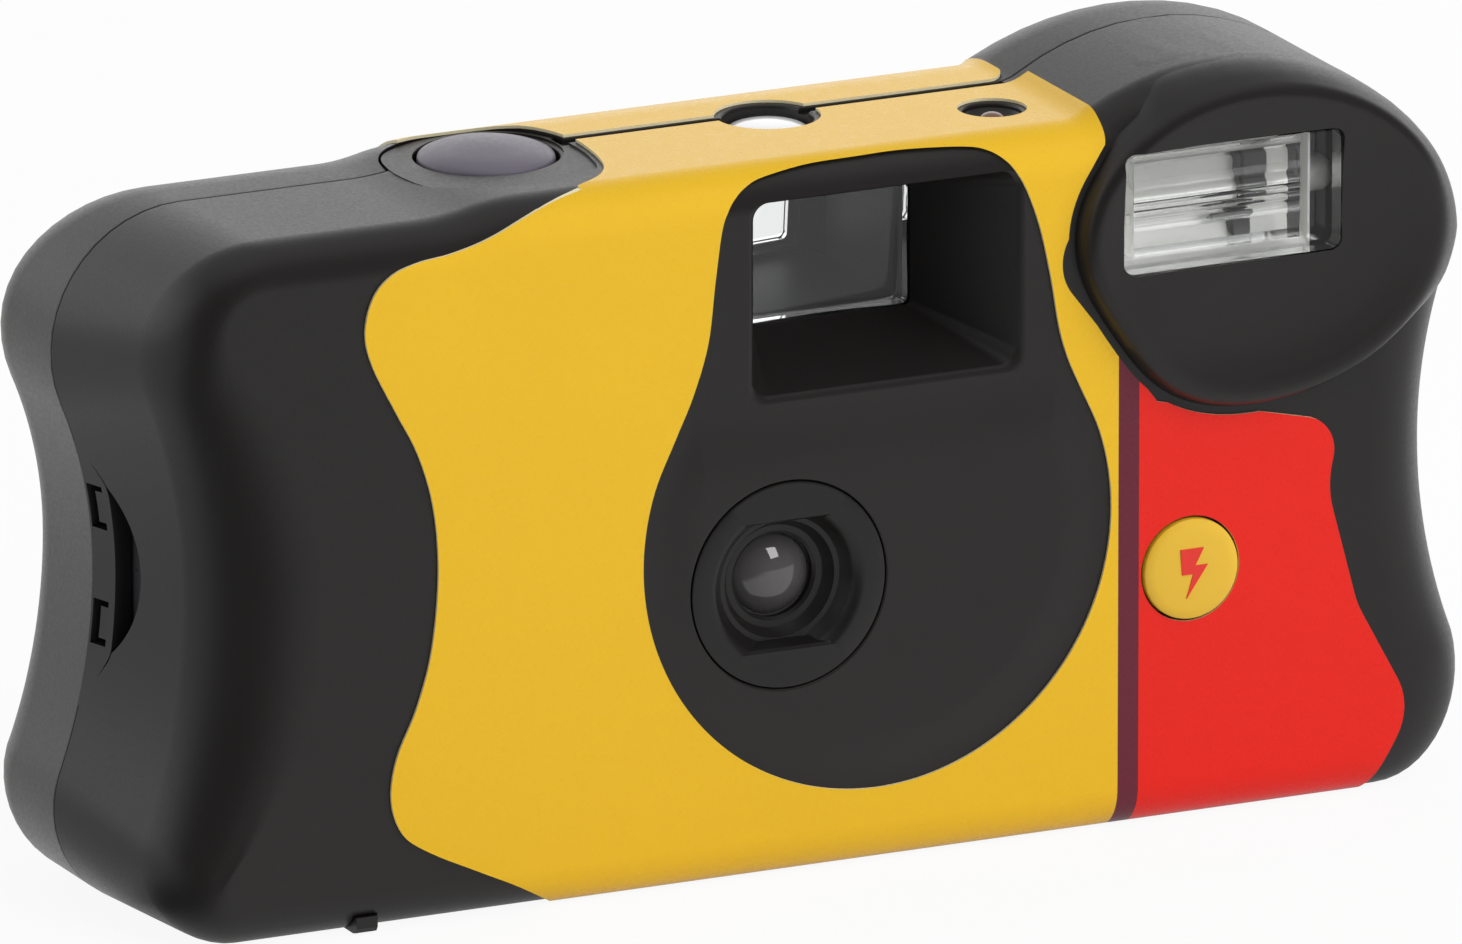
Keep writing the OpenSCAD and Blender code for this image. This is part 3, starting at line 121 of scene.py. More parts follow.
def outline(ins, dip=0.0, tight=1 / 3):
    """Outline of the covers from the front, drawn in by grip end, flash end, top and bottom.

    At the grip end the waist is deeper by dip, and the corners get tighter by tight for each millimetre."""
    i0, i1, i2, i3 = ins
    left, right = i0 - half_w, half_w - i1
    waist_l = waist_in + dip
    low_rl, low_rr = max(low_r - (i0 + i3) * tight, 2), max(low_r - (i1 + i3) / 3, 2)
    top_rl = max(top_r - (i0 + i2) * tight, 2)
    low, top, grip = i3, body_h - i2, grip_h - i2
    bulge_out, bulge_z = 1.2, body_h - 13.5
    bulge_r = max(14 - (i1 + i2) / 2, 4)
    bulge_right = right - bulge_out
    crest_x = head_x - 0.9
    crest_dx, crest_dz = bulge_right - bulge_r - crest_x, bulge_h - i2 - bulge_z
    crest_r = (crest_dx ** 2 + crest_dz ** 2 - bulge_r ** 2) / (2 * (crest_dz - bulge_r))
    crest_z = bulge_h - i2 - crest_r
    crest_turn = deg(math.atan2, bulge_z - crest_z, crest_dx)
    foot_r = 4 + i2
    foot_dz = top + foot_r - crest_z
    foot_x = crest_x - math.sqrt((crest_r + foot_r) ** 2 - foot_dz ** 2)
    foot_turn = deg(math.atan2, foot_dz, crest_x - foot_x)
    step_x, step_w = -24.0, 9.0
    step_r = (step_w ** 2 + grip_drop ** 2) / (4 * grip_drop)
    step_turn = deg(math.asin, step_w / 2 / step_r)
    low_dzl, low_dzr = waist_z - low - low_rl, waist_z - low - low_rr
    top_dz, bulge_dz, bulge_in = grip - top_rl - waist_z, bulge_z - waist_z, waist_in - bulge_out
    ll, lr = hollow_r(waist_l, low_dzl, low_rl), hollow_r(waist_in, low_dzr, low_rr)
    tl, tr = hollow_r(waist_l, top_dz, top_rl), hollow_r(bulge_in, bulge_dz, bulge_r)
    turn_ll, turn_lr = deg(math.asin, low_dzl / (ll + low_rl)), deg(math.asin, low_dzr / (lr + low_rr))
    turn_tl, turn_tr = deg(math.asin, top_dz / (tl + top_rl)), deg(math.asin, bulge_dz / (tr + bulge_r))
    arcs = [
        arc(left + low_rl, low + low_rl, low_rl, 180 - turn_ll, 270),
        arc(right - low_rr, low + low_rr, low_rr, 270, 360 + turn_lr),
        arc(right - waist_in + lr, waist_z, lr, 180 + turn_lr, 180, -1)[1:],
        arc(right - waist_in + tr, waist_z, tr, 180, 180 - turn_tr, -1)[1:],
        arc(bulge_right - bulge_r, bulge_z, bulge_r, -turn_tr, crest_turn)[1:],
        arc(crest_x, crest_z, crest_r, crest_turn, 180 - foot_turn)[1:],
        arc(foot_x, top + foot_r, foot_r, -foot_turn, -90, -1)[1:],
        arc(step_x, top - step_r, step_r, 90, 90 + step_turn),
        arc(step_x - step_w, grip + step_r, step_r, step_turn - 90, -90, -1)[1:],
        arc(left + top_rl, grip - top_rl, top_rl, 90, 180 + turn_tl),
        arc(left + waist_l - tl, waist_z, tl, turn_tl, 0, -1)[1:],
        arc(left + waist_l - ll, waist_z, ll, 0, -turn_ll, -1)[1:-1]]
    return np.concatenate(arcs)


def side_mix(v, nx, nz):
    return nx * nx * np.where(nx < 0, v[0], v[1]) + nz * nz * np.where(nz > 0, v[2], v[3])


def cover_ring(w, d, face_y, way, t, a):
    """Ring of a cover at angle a; in front, the grip end leans in and its rounding begins at grip_start."""
    turns = np.radians([grip_start + a * (90 - grip_start) / 90 if way > 0 else a, a, a, a])
    lean = np.array([grip_draft if way > 0 else 0.0, 0.0, 0.0, 0.0])
    w, d = np.array(w), np.array(d)
    ins = w - (w - t - lean) * np.cos(turns)
    deep = d - (d - t) * np.sin(turns)
    p = outline(ins, grip_dip * (1 - math.cos(turns[0])), grip_tight) if way > 0 else outline(ins)
    return np.stack([p[:, 0], face_y + way * side_mix(deep, p[:, 2], p[:, 3]), p[:, 1]], 1)


def flat_ring(t, y):
    p = outline([t] * 4)
    return np.stack([p[:, 0], np.full(len(p), y), p[:, 1]], 1)


def cover_rings(w, d, face_y, way, t, steps, soft=0.0, y0=seam_y):
    """Rings of a cover from the seam to its flat face, with a softened edge at the seam."""
    rings = [flat_ring(t, y0)]
    if soft:
        rings = [flat_ring(t + soft, y0), flat_ring(t + soft * 0.3, y0 - way * soft * 0.3),
            flat_ring(t, y0 - way * soft)]
    return rings + [cover_ring(w, d, face_y, way, t, 90 * i / steps) for i in range(steps + 1)]


def front_rings(t, steps=16, soft=0.0):
    return cover_rings(front_w, front_d, front_y, 1, t, steps, soft)


def back_rings(t, steps=16, soft=0.0):
    return cover_rings(back_w, back_w, back_y, -1, t, steps, soft)


temp = bpy.data.collections.new("temp")
bpy.context.scene.collection.children.link(temp)


def new_mesh(name, verts, faces):
    me = bpy.data.meshes.new(name)
    me.from_pydata([tuple(map(float, v)) for v in verts], [], [tuple(map(int, f)) for f in faces])
    bm = bmesh.new()
    bm.from_mesh(me)
    bmesh.ops.recalc_face_normals(bm, faces=bm.faces)
    bm.to_mesh(me)
    bm.free()
    ob = bpy.data.objects.new(name, me)
    temp.objects.link(ob)
    return ob


def strips(rings, start=0):
    n = len(rings[0])
    return [(start + k * n + i, start + k * n + (i + 1) % n, start + (k + 1) * n + (i + 1) % n,
        start + (k + 1) * n + i)
            for k in range(len(rings) - 1) for i in range(n)]


def loft(rings, name="loft"):
    """Solid through closed rings, with a flat cap at both ends."""
    n, m = len(rings[0]), len(rings)
    faces = strips(rings) + [tuple(range(n)), tuple(range(n * (m - 1), n * m))]
    return new_mesh(name, np.concatenate(rings), faces)


def shell(outer, inner, name="shell"):
    """Open shell between two sets of rings, joined along their first rings."""
    n, mo, mi = len(outer[0]), len(outer), len(inner)
    faces = strips(outer) + strips(inner, n * mo)
    faces += [tuple(range(n * (mo - 1), n * mo)), tuple(range(n * (mo + mi - 1), n * (mo + mi)))]
    faces += [(i, (i + 1) % n, n * mo + (i + 1) % n, n * mo + i) for i in range(n)]
    return new_mesh(name, np.concatenate(list(outer) + list(inner)), faces)


def lathe(profile, at, axis="z", steps=96, name="lathe"):
    """Solid turned from [radius, height] points; a radius of 0 closes to a point."""
    x, y, z = at
    verts, rows = [], []
    for r, h in profile:
        if r < 1e-6:
            rows.append([len(verts)])
            verts.append((0.0, 0.0, h))
        else:
            rows.append(list(range(len(verts), len(verts) + steps)))
            verts += [(r * math.cos(2 * math.pi * i / steps), r * math.sin(2 * math.pi * i / steps),
                h) for i in range(steps)]
    faces = []
    for a, b in zip(rows, rows[1:]):
        for i in range(steps):
            j = (i + 1) % steps
            if len(a) == 1 and len(b) == 1:
                break
            if len(a) == 1:
                faces.append((a[0], b[j], b[i]))
            elif len(b) == 1:
                faces.append((a[i], a[j], b[0]))
            else:
                faces.append((a[i], a[j], b[j], b[i]))
    for row in (rows[0], rows[-1]):
        if len(row) > 1:
            faces.append(tuple(row))
    if axis == "y":
        verts = [(vx, -vz, vy) for vx, vy, vz in verts]
    return new_mesh(name, [(vx + x, vy + y, vz + z) for vx, vy, vz in verts], faces)


def disc(r, low, high, at, axis="z", steps=96):
    return lathe([(0, low), (r, low), (r, high), (0, high)], at, axis, steps)


def prism(points, axis, lo, hi, name="prism"):
    """Polygon pulled along an axis: points are (x, z) for y, (x, y) for z and (y, z) for x."""
    n = len(points)
    put = {"y": lambda a, b, c: (a, c, b), "z": lambda a, b, c: (a, b, c), "x": lambda a, b,
        c: (c, a, b)}[axis]
    verts = [put(a, b, lo) for a, b in points] + [put(a, b, hi) for a, b in points]
    faces = [tuple(range(n)), tuple(range(n, 2 * n))]
    faces += [(i, (i + 1) % n, n + (i + 1) % n, n + i) for i in range(n)]
    return new_mesh(name, verts, faces)


def box(a, b, name="box"):
    return prism([(a[0], a[1]), (b[0], a[1]), (b[0], b[1]), (a[0], b[1])], "z", a[2], b[2], name)


def rounded_rect(w, h, r, steps=8):
    pts = []
    for cx, cz, a0 in ((1, 1, 0), (-1, 1, 90), (-1, -1, 180), (1, -1, 270)):
        for i in range(steps + 1):
            a = rad(a0 + 90 * i / steps)
            pts.append((cx * (w / 2 - r) + r * math.cos(a), cz * (h / 2 - r) + r * math.sin(a)))
    return pts


def slab(x, z, levels, name="slab"):
    """Rounded block along Y through levels of (y, width, height, corner radius)."""
    rings = [np.array([(x + a, y, z + b) for a, b in rounded_rect(w, h, r)]) for y, w, h, r in levels]
    return loft(rings, name)


def rounded_path(v, steps=12):
    """Polygon whose corners [x, z, r] are rounded."""
    pts = []
    for i in range(len(v)):
        a, b, c = (np.array(v[(i + k) % len(v)][:2], float) for k in (-1, 0, 1))
        r = v[i][2]
        if r == 0:
            pts.append(tuple(b))
            continue
        u, w = (a - b) / np.linalg.norm(a - b), (c - b) / np.linalg.norm(c - b)
        half = math.acos(float(u @ w)) / 2
        mid = b + (u + w) / np.linalg.norm(u + w) * r / math.sin(half)
        p, q = b + u * r / math.tan(half) - mid, b + w * r / math.tan(half) - mid
        a0, a1 = math.atan2(p[1], p[0]), math.atan2(q[1], q[0])
        turn = (a1 - a0 + math.pi) % (2 * math.pi) - math.pi
        pts += [tuple(mid + r * np.array([math.cos(a0 + turn * k / steps), math.sin(a0 + turn * k / steps)]))
                for k in range(steps + 1)]
    return pts


def spline(a, b, c, d, t):
    return 0.5 * (2 * b + (c - a) * t + (2 * a - 5 * b + 4 * c - d) * t * t
                  + (3 * b - a - 3 * c + d) * t ** 3)


def smooth_points(points, per=6):
    """Points of a smooth curve through the given ones."""
    p = np.array(points, float)
    ends = np.concatenate([[2 * p[0] - p[1]], p, [2 * p[-1] - p[-2]]])
    out = []
    for i in range(1, len(ends) - 2):
        a, b, c, d = ends[i - 1:i + 3]
        for k in range(per):
            t = k / per
            out.append(spline(a, b, c, d, t))
    out.append(p[-1])
    return out


def closed_curve(points, per=6):
    """Closed smooth curve through the given points."""
    p = np.array(points, float)
    n, out = len(p), []
    for i in range(n):
        a, b, c, d = (p[(i + k) % n] for k in (-1, 0, 1, 2))
        for t in np.arange(per) / per:
            out.append(spline(a, b, c, d, t))
    return np.array(out)


def grow(points, t):
    """Polygon moved outwards by t along its own normals; its points run counter-clockwise."""
    e = np.roll(points, -1, 0) - np.roll(points, 1, 0)
    n = np.stack([e[:, 1], -e[:, 0]], 1)
    return points + t * n / np.linalg.norm(n, axis=1)[:, None]


def column(points, low, high):
    """Upright solid over a polygon in plan; low and high are functions of X, or heights."""
    up = [np.stack([points[:, 0], points[:, 1], h(points[:, 0]) if callable(h) else np.full(len(points), h)],
        1) for h in (low, high)]
    return loft(up, "column")


def combine(ob, other, how):
    mod = ob.modifiers.new("b", "BOOLEAN")
    mod.operation, mod.solver, mod.object = how, "MANIFOLD", other
    graph = bpy.context.evaluated_depsgraph_get()
    me = bpy.data.meshes.new_from_object(ob.evaluated_get(graph))
    ob.modifiers.remove(mod)
    old = ob.data
    ob.data = me
    bpy.data.meshes.remove(old)
    bpy.data.objects.remove(other)
    return ob


def cut(ob, *others):
    for o in others:
        combine(ob, o, "DIFFERENCE")
    return ob


def add(ob, *others):
    for o in others:
        combine(ob, o, "UNION")
    return ob


def keep(ob, other):
    return combine(ob, other, "INTERSECT")


def piece(ob, name, body, materials, nodes=()):
    """Turns a scratch solid in millimetres into a finished piece in metres."""
    me = ob.data
    bm = bmesh.new()
    bm.from_mesh(me)
    bmesh.ops.remove_doubles(bm, verts=bm.verts, dist=2e-4)
    bmesh.ops.dissolve_degenerate(bm, dist=1e-4, edges=bm.edges)
    for v in bm.verts:
        v.co = [min(max(c * 0.001, lo), hi) for c, lo, hi in zip(v.co, *cad_box)]
    bmesh.ops.recalc_face_normals(bm, faces=bm.faces)
    bm.to_mesh(me)
    bm.free()
    me.materials.clear()
    for m in materials if isinstance(materials, (list, tuple)) else [materials]:
        me.materials.append(m)
    me.shade_smooth()
    me.set_sharp_from_angle(angle=rad(32))
    mod = ob.modifiers.new("normals", "WEIGHTED_NORMAL")
    mod.keep_sharp = True
    mod.weight = 80
    temp.objects.unlink(ob)
    bpy.context.scene.collection.objects.link(ob)
    ob.name = name
    me.name = name
    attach(ob, body)
    if nodes:
        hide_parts(*nodes)
    return ob


# Materials


def graph(name):
    m = bpy.data.materials.new(name)
    m.use_nodes = True
    nt = m.node_tree
    return m, nt, nt.nodes["Principled BSDF"]


def noise(nt, scale, detail, rough=0.55):
    n = nt.nodes.new("ShaderNodeTexNoise")
    n.inputs["Scale"].default_value = scale
    n.inputs["Detail"].default_value = detail
    n.inputs["Roughness"].default_value = rough
    nt.links.new(nt.nodes.new("ShaderNodeTexCoord").outputs["Object"], n.inputs["Vector"])
    return n


def span(nt, source, lo, hi, a=0.3, b=0.7):
    r = nt.nodes.new("ShaderNodeMapRange")
    r.inputs["From Min"].default_value, r.inputs["From Max"].default_value = a, b
    r.inputs["To Min"].default_value, r.inputs["To Max"].default_value = lo, hi
    nt.links.new(source, r.inputs["Value"])
    return r.outputs["Result"]


def blend_rgb(nt, factor, a, b):
    mix = nt.nodes.new("ShaderNodeMix")
    mix.data_type = "RGBA"
    nt.links.new(factor, mix.inputs["Factor"])
    for sock, v in ((mix.inputs["A"], a), (mix.inputs["B"], b)):
        sock.default_value = (*v, 1)
    return mix.outputs["Result"]


def plastic(name, rgb, rough=0.45, grain=0.1, grain_mm=0.3, vary=0.08, ior=1.5, metal=0.0, coat=0.0):
    """Moulded or printed surface: cloudy colour and gloss, with a fine grain."""
    m, nt, b = graph(name)
    cloud = noise(nt, 90, 4)
    fine = noise(nt, 1000 / grain_mm, 2)
    tone = blend_rgb(nt, span(nt, cloud.outputs["Fac"], 0, 1),
                     tuple(c * (1 - vary) for c in rgb), tuple(min(c * (1 + vary), 1) for c in rgb))
    nt.links.new(tone, b.inputs["Base Color"])
    nt.links.new(span(nt, fine.outputs["Fac"], rough - 0.05, rough + 0.05), b.inputs["Roughness"])
    b.inputs["IOR"].default_value = ior
    b.inputs["Metallic"].default_value = metal
    b.inputs["Coat Weight"].default_value = coat
    if grain:
        bump = nt.nodes.new("ShaderNodeBump")
        bump.inputs["Strength"].default_value = grain
        bump.inputs["Distance"].default_value = 0.00005
        nt.links.new(fine.outputs["Fac"], bump.inputs["Height"])
        nt.links.new(bump.outputs["Normal"], b.inputs["Normal"])
    return m


def clear(name, rgb=(1, 1, 1), rough=0.02, ior=1.49):
    """Clear moulding: faint haze in patches."""
    m, nt, b = graph(name)
    cloud = noise(nt, 300, 3)
    nt.links.new(span(nt, cloud.outputs["Fac"], rough * 0.6, rough * 1.4), b.inputs["Roughness"])
    nt.links.new(blend_rgb(nt, cloud.outputs["Fac"], tuple(c * 0.97 for c in rgb), rgb),
        b.inputs["Base Color"])
    b.inputs["Transmission Weight"].default_value = 1
    b.inputs["IOR"].default_value = ior
    return m


M = {
    "cover": plastic("charcoal_plastic", (0.0128, 0.0112, 0.0109), 0.38, 0.16, 0.28, 0.06),
    "ring": plastic("black_plastic", (0.0098, 0.0088, 0.0086), 0.36, 0.05, 0.3, 0.08),
    "yellow": plastic("label_yellow", (0.8, 0.48, 0.012), 0.3, 0.004, 0.5, 0.008, ior=1.4),
    "plum": plastic("label_plum", (0.13, 0.015, 0.03), 0.3, 0.004, 0.5, 0.02, ior=1.4),
    "red": plastic("label_red", (0.78, 0.012, 0.004), 0.3, 0.004, 0.5, 0.008, ior=1.4),
    "paper": plastic("label_edge", (0.85, 0.76, 0.5), 0.6, 0.1, 0.2, 0.06),
    "milk": plastic("counter_clear", (0.86, 0.86, 0.88), 0.08, 0.0, 0.5, 0.03, coat=0.5),
    "button": plastic("button_plastic", (0.142, 0.128, 0.162), 0.42, 0.05, 0.4, 0.05),
    "flash_button": plastic("flash_button_yellow", (0.76, 0.47, 0.03), 0.35, 0.03, 0.4, 0.03),
    "bolt": plastic("bolt_red", (0.75, 0.03, 0.018), 0.38, 0.03, 0.4, 0.04),
    "white": plastic("dial_white", (0.85, 0.84, 0.8), 0.5, 0.04, 0.4, 0.02),
    "mirror": plastic("reflector_metal", (0.97, 0.96, 0.93), 0.4, 0.03, 0.6, 0.02),
    "dark": plastic("frame_black", (0.012, 0.012, 0.013), 0.55, 0.1, 0.3, 0.1),
    "amber": plastic("lamp_amber", (0.16, 0.075, 0.045), 0.18, 0.02, 0.4, 0.1, coat=0.5),
    "glass": clear("clear_plastic", (0.98, 0.99, 0.985)),
    "lens": plastic("lens_glass", (0.052, 0.049, 0.05), 0.06, 0.0, 0.5, 0.25, ior=1.6, coat=0.6),
    "tube": plastic("tube_glass", (0.93, 0.92, 0.88), 0.12, 0.02, 0.5, 0.03, coat=0.6),
    "board": plastic("board_laminate", (0.42, 0.27, 0.09), 0.5, 0.1, 0.4, 0.12),
    "steel": plastic("spring_steel", (0.62, 0.62, 0.62), 0.28, 0.06, 0.3, 0.05, metal=1.0),
    "brass": plastic("contact_brass", (0.62, 0.44, 0.18), 0.3, 0.06, 0.3, 0.06, metal=1.0),
    "can": plastic("capacitor_sleeve", (0.02, 0.021, 0.028), 0.3, 0.04, 0.5, 0.1),
    "copper": plastic("coil_winding", (0.4, 0.16, 0.06), 0.35, 0.3, 0.25, 0.1, metal=0.6),
    "cell": plastic("cell_jacket", (0.05, 0.05, 0.06), 0.3, 0.03, 0.5, 0.15),
    "film": plastic("film_base", (0.1, 0.05, 0.035), 0.22, 0.02, 0.8, 0.06),
    "can_film": plastic("cartridge_sheet", (0.05, 0.05, 0.056), 0.32, 0.04, 0.4, 0.08),
    "nylon": plastic("white_nylon", (0.7, 0.69, 0.64), 0.45, 0.05, 0.4, 0.04),
}

# Front cover


def fillet(r, surface, way, big, steps=6):
    """Rim of a round hole: from the bore's radius out to the surface."""
    return [(r + big * (1 - math.cos(rad(90 * i / steps))),
             surface - way * big * (1 - math.sin(rad(90 * i / steps)))) for i in range(steps + 1)]


def bore_z(x, y, r, low, surface, soft):
    prof = [(0, low), (r, low)] + fillet(r, surface, 1, soft) + [(r + soft, surface + 4), (0, surface + 4)]
    return lathe(prof, (x, y, 0), "z", name="bore")


def bore_y(x, z, r, deep, surface, soft):
    """Round hole into the front; deep and surface are Y values."""
    prof = [(0, -deep), (r, -deep)] + fillet(r, -surface, 1, soft) + [(r + soft, -surface + 4),
        (0, -surface + 4)]
    return lathe(prof, (x, 0, z), "y", name="bore")


def door_cutters():
    return (box((cartridge_x - door_w / 2 - fit_gap, door_front - fit_gap, -1),
                (cartridge_x + door_w / 2 + fit_gap, door_back + fit_gap, wall + 1)),
            box((door_tab_x - door_tab_w / 2 - fit_gap, front_y - 1, -1),
                (door_tab_x + door_tab_w / 2 + fit_gap, door_front, door_low + door_t + fit_gap)))


def tongue_block(t):
    """Block around the tongue of the back cover at the grip end, larger by t all round."""
    far, slope = (1.0 if t else 0.05), 0.9
    path = [(seam_y + far, tongue_z + 10.4 + slope * far + 1.4 * t, 0),
        (tongue_front - t, tongue_z + 6.9 + t, 2.5),
            (tongue_front - t, tongue_z - 6.7 - t, 2.5), (seam_y + far,
            tongue_z - 11.4 - slope * far - 1.4 * t, 0)]
    return prism(rounded_path(path), "x", -half_w - 1, -half_w + 8)


head_turns = np.linspace(0, 2 * np.pi, 160, endpoint=False)


def oval_reach(a):
    half = np.where(np.cos(a) < 0, head_a - 1.4, head_a)
    return 1 / np.hypot(np.cos(a) / half, np.sin(a) / head_b) - 1.8 * np.maximum(np.cos(a - rad(205)), 0) ** 8


def outline_reach(a):
    """Distance from the head's middle to the covers' outline along each angle."""
    p = outline([-0.03] * 4)[:, :2] - np.array([head_x, head_z])
    e = np.roll(p, -1, 0) - p
    dx, dz = np.cos(a)[:, None], np.sin(a)[:, None]
    den = dx * e[:, 1] - dz * e[:, 0]
    den = np.where(np.abs(den) < 1e-9, 1e-9, den)
    at = (p[:, 0] * dz - p[:, 1] * dx) / den
    far = (p[:, 0] * e[:, 1] - p[:, 1] * e[:, 0]) / den
    return np.where((at >= 0) & (at <= 1), far, 0).max(1)


def head_oval(t):
    r = oval_reach(head_turns) - t
    return np.stack([head_x + r * np.cos(head_turns), head_z + r * np.sin(head_turns)], 1)


def head_rings(profile):
    turn = np.degrees(np.where(head_turns > np.pi, head_turns - 2 * np.pi, head_turns))
    part = np.clip((turn + 40) / 25, 0, 1) * np.clip((135 - turn) / 20, 0, 1)
    part = part * part * (3 - 2 * part)
    reach = np.maximum(0.2, part * np.minimum(outline_reach(head_turns) - oval_reach(head_turns), 2.6))
    rings = []
    for share, inward, up in profile:
        r = oval_reach(head_turns) + share * reach - inward
        rings.append(np.stack([head_x + r * np.cos(head_turns), np.full(len(r), front_y - up),
            head_z + r * np.sin(head_turns)], 1))
    return rings


def flash_head():
    outer = [(1, 0, -7.2), (1, 0, -5.5), (0.94, 0, -4), (0.78, 0, -2), (0.52, 0.2, -0.4), (0.25, 0.5, 0.8),
        (0.05, 0.8, 1.55), (0, 1.4, 1.93),
             (0, 2.1, 1.9), (0, 3.2, 1.7), (0, 5, 1.42), (0, 7.5, 1.2), (0, 9.5, 1.12), (0, 11, 1.1)]
    inner = [(1, wall, -7.2), (0.75, wall, -2), (0.1, wall, -wall)]
    return shell(head_rings(smooth_points(outer, 5)), head_rings(inner), "head")


def mound():
    """Low round field around the lens, running out softly at its rim and below the viewfinder."""
    rim = 4.0
    prof = [(0, -0.8), (mound_r, -0.8)] + [(mound_r - rim * i / 12,
        mound_h * (i / 12) ** 2 * (3 - i / 6)) for i in range(13)]
    ob = lathe(prof + [(0, mound_h)], (mound_x, front_y, mound_z), "y", 160, "mound")
    fade_z, fade_w = mouth_low - 0.4, 6.5
    arch = [(front_y - mound_h * (1 - k * k * (3 - 2 * k)) - 0.001,
        fade_z - fade_w * (1 - k)) for k in np.linspace(0, 1, 13)]
    return cut(ob, prism([(front_y - 5, fade_z - fade_w)] + arch + [(front_y - 0.001, 70), (front_y - 5, 70)],
        "x", -40, 60))


def funnel(t, y0, soft=0.0):
    """Solid of the viewfinder funnel, wider by t; soft rounds its mouth."""
    def level(y, extra=0.0):
        k = (vf_back - y) / vf_d
        x0 = vf_x - vf_w / 2 - t - (vf_flare / 2 - mouth_shift) * k - extra
        x1 = vf_x + vf_w / 2 + t + (vf_flare / 2 + mouth_shift) * k + extra
        z0 = vf_z - vf_h / 2 - t - (vf_z - vf_h / 2 - mouth_low) * k - extra
        z1 = vf_z + vf_h / 2 + t + (mouth_top - vf_z - vf_h / 2) * k + extra
        r = 0.5 + 0.9 * k
        return np.array([((x0 + x1) / 2 + a, y, (z0 + z1) / 2 + b) for a,
            b in rounded_rect(x1 - x0, z1 - z0, r)])
    rings = [level(vf_back)]
    if soft:
        mid = front_y
        rings += [level(mid + soft - soft * math.sin(rad(a)), soft * (1 - math.cos(rad(a)))) for a in range(0,
            91, 15)]
        rings.append(level(y0, soft))
    else:
        rings.append(level(y0))
    return loft(rings, "funnel")


def pry_slot():
    h, d = 14.0, 3.2
    r = (h * h / 4 + d * d) / (2 * d)
    half = math.asin(h / 2 / r)
    mid = tongue_front + 0.2 + r - d
    pts = [(mid - r * math.cos(half * (2 * i / 32 - 1)),
        tongue_z + 0.2 + r * math.sin(half * (2 * i / 32 - 1))) for i in range(33)]
    return prism(pts, "x", -half_w - 1, -half_w + 9, "slot")


def slab_cut(x, z, w, h, r, y0, y1):
    return slab(x, z, [(y0, w, h, r), (y1, w, h, r)])


deck_curve = closed_curve([(-29.6, -0.5), (-28.6, -5.0), (-25.0, -8.4), (-20.0, -9.2), (-16.0, -7.4),
    (-14.8, -3.6), (-14.6, 0.2),
                           (-15.0, 3.0), (-16.6, 5.8), (-19.0, 7.3), (-21.3, 7.7), (-24.2, 7.5), (-26.6, 6.7),
                           (-28.4, 5.3), (-29.3, 3.2)])


def deck_level(x):
    return deck_top + 0.12 + 0.03 * (x - button_x)


cover = shell(front_rings(0, soft=seam_soft), front_rings(wall, 6), "front")
cut(cover, tongue_block(fit_gap), bore_z(counter_x, counter_y, counter_hole_r, in_top - 1, body_h, 0.3),
    column(deck_curve, deck_level, above))
add(cover, mound(), flash_head(), funnel(1.2, front_y + wall / 2),
    column(deck_curve, deck_top - deck_t, deck_level),
    disc(ring_r + 1.4, -barrel_back, -front_y - wall / 2, lens_at, "y"))
cut(cover, funnel(0, front_y - mound_h - 1, 0.45), bore_y(lens_x, lens_z, ring_r + 0.05, seat_y, ring_front,
    0.22),
    disc(lens_r - 1.2, -barrel_back - 1, -seat_y + 1, lens_at, "y"),
    slab_cut(window_x, window_z, window_w, window_h, 1.0, front_y - head_up - 1, in_front + 3),
    slab_cut(window_x, window_z, window_w + 1.4, window_h + 1.4, 0.6, in_front, in_front + 8),
    bore_y(flash_button_x, flash_button_z, flash_button_r + 0.12, in_front + 1, front_y, 0.06),
    bore_z(button_x, button_y, button_r + run_gap, deck_top - deck_t - 1, deck_top + 0.1, 0.3),
    lathe([(0, body_h - 0.9), (pipe_r + 0.3, body_h - 0.9), (lamp_hole_r - 0.3, body_h - 0.7),
    (lamp_hole_r, body_h - 0.4)] +
          fillet(lamp_hole_r, body_h, 1, 0.25) + [(lamp_hole_r + 0.25, body_h + 2), (0, body_h + 2)],
          (lamp_x, lamp_y, 0)),
    disc(pipe_r + fit_gap, in_top - 1, body_h, (lamp_x, lamp_y, 0)),
    box((10.3, seam_y - 1.15, body_h - 0.9), (14.3, seam_y + 1, body_h + 1)),
    box((-15.2, seam_y - 1.25, body_h - 0.45), (23.5, seam_y + 1, body_h + 1)),
    pry_slot(), *door_cutters())
piece(cover, "front_cover_skin", "camera", M["cover"], ["front_cover"])

# Back cover
back = shell(back_rings(0, soft=seam_soft), back_rings(wall, 6), "back")
cut(back, bore_z(counter_x, counter_y, counter_hole_r, in_top - 1, body_h, 0.3))
tongue = keep(shell(front_rings(0), front_rings(wall, 6)), tongue_block(0))
fill = keep(loft(back_rings(0)),
            box((cartridge_x - 12, in_back - 2.4, wheel_low - 3),
            (cartridge_x + 12, back_y + 1, wheel_low + wheel_t + 3)))
boss = keep(loft(back_rings(0)),
            box((vf_x - eye_w / 2 - 1.6, eye_front, eye_z - eye_h / 2 - 1.6),
            (vf_x + eye_w / 2 + 1.6, back_y + 1, eye_z + eye_h / 2 + 1.6)))
add(back, tongue, fill, boss)
scoop_r, cartridge_room = 18.0, 12.6
ball = lathe([(scoop_r * math.sin(math.pi * i / 48),
    -scoop_r * math.cos(math.pi * i / 48)) for i in range(49)],
             (cartridge_x, cartridge_y + thumbwheel_r - 1.4 + scoop_r, wheel_low + wheel_t / 2), name="scoop")
latches = [tongue_z + 0.3 + s * 4.7 for s in (-1, 1)]
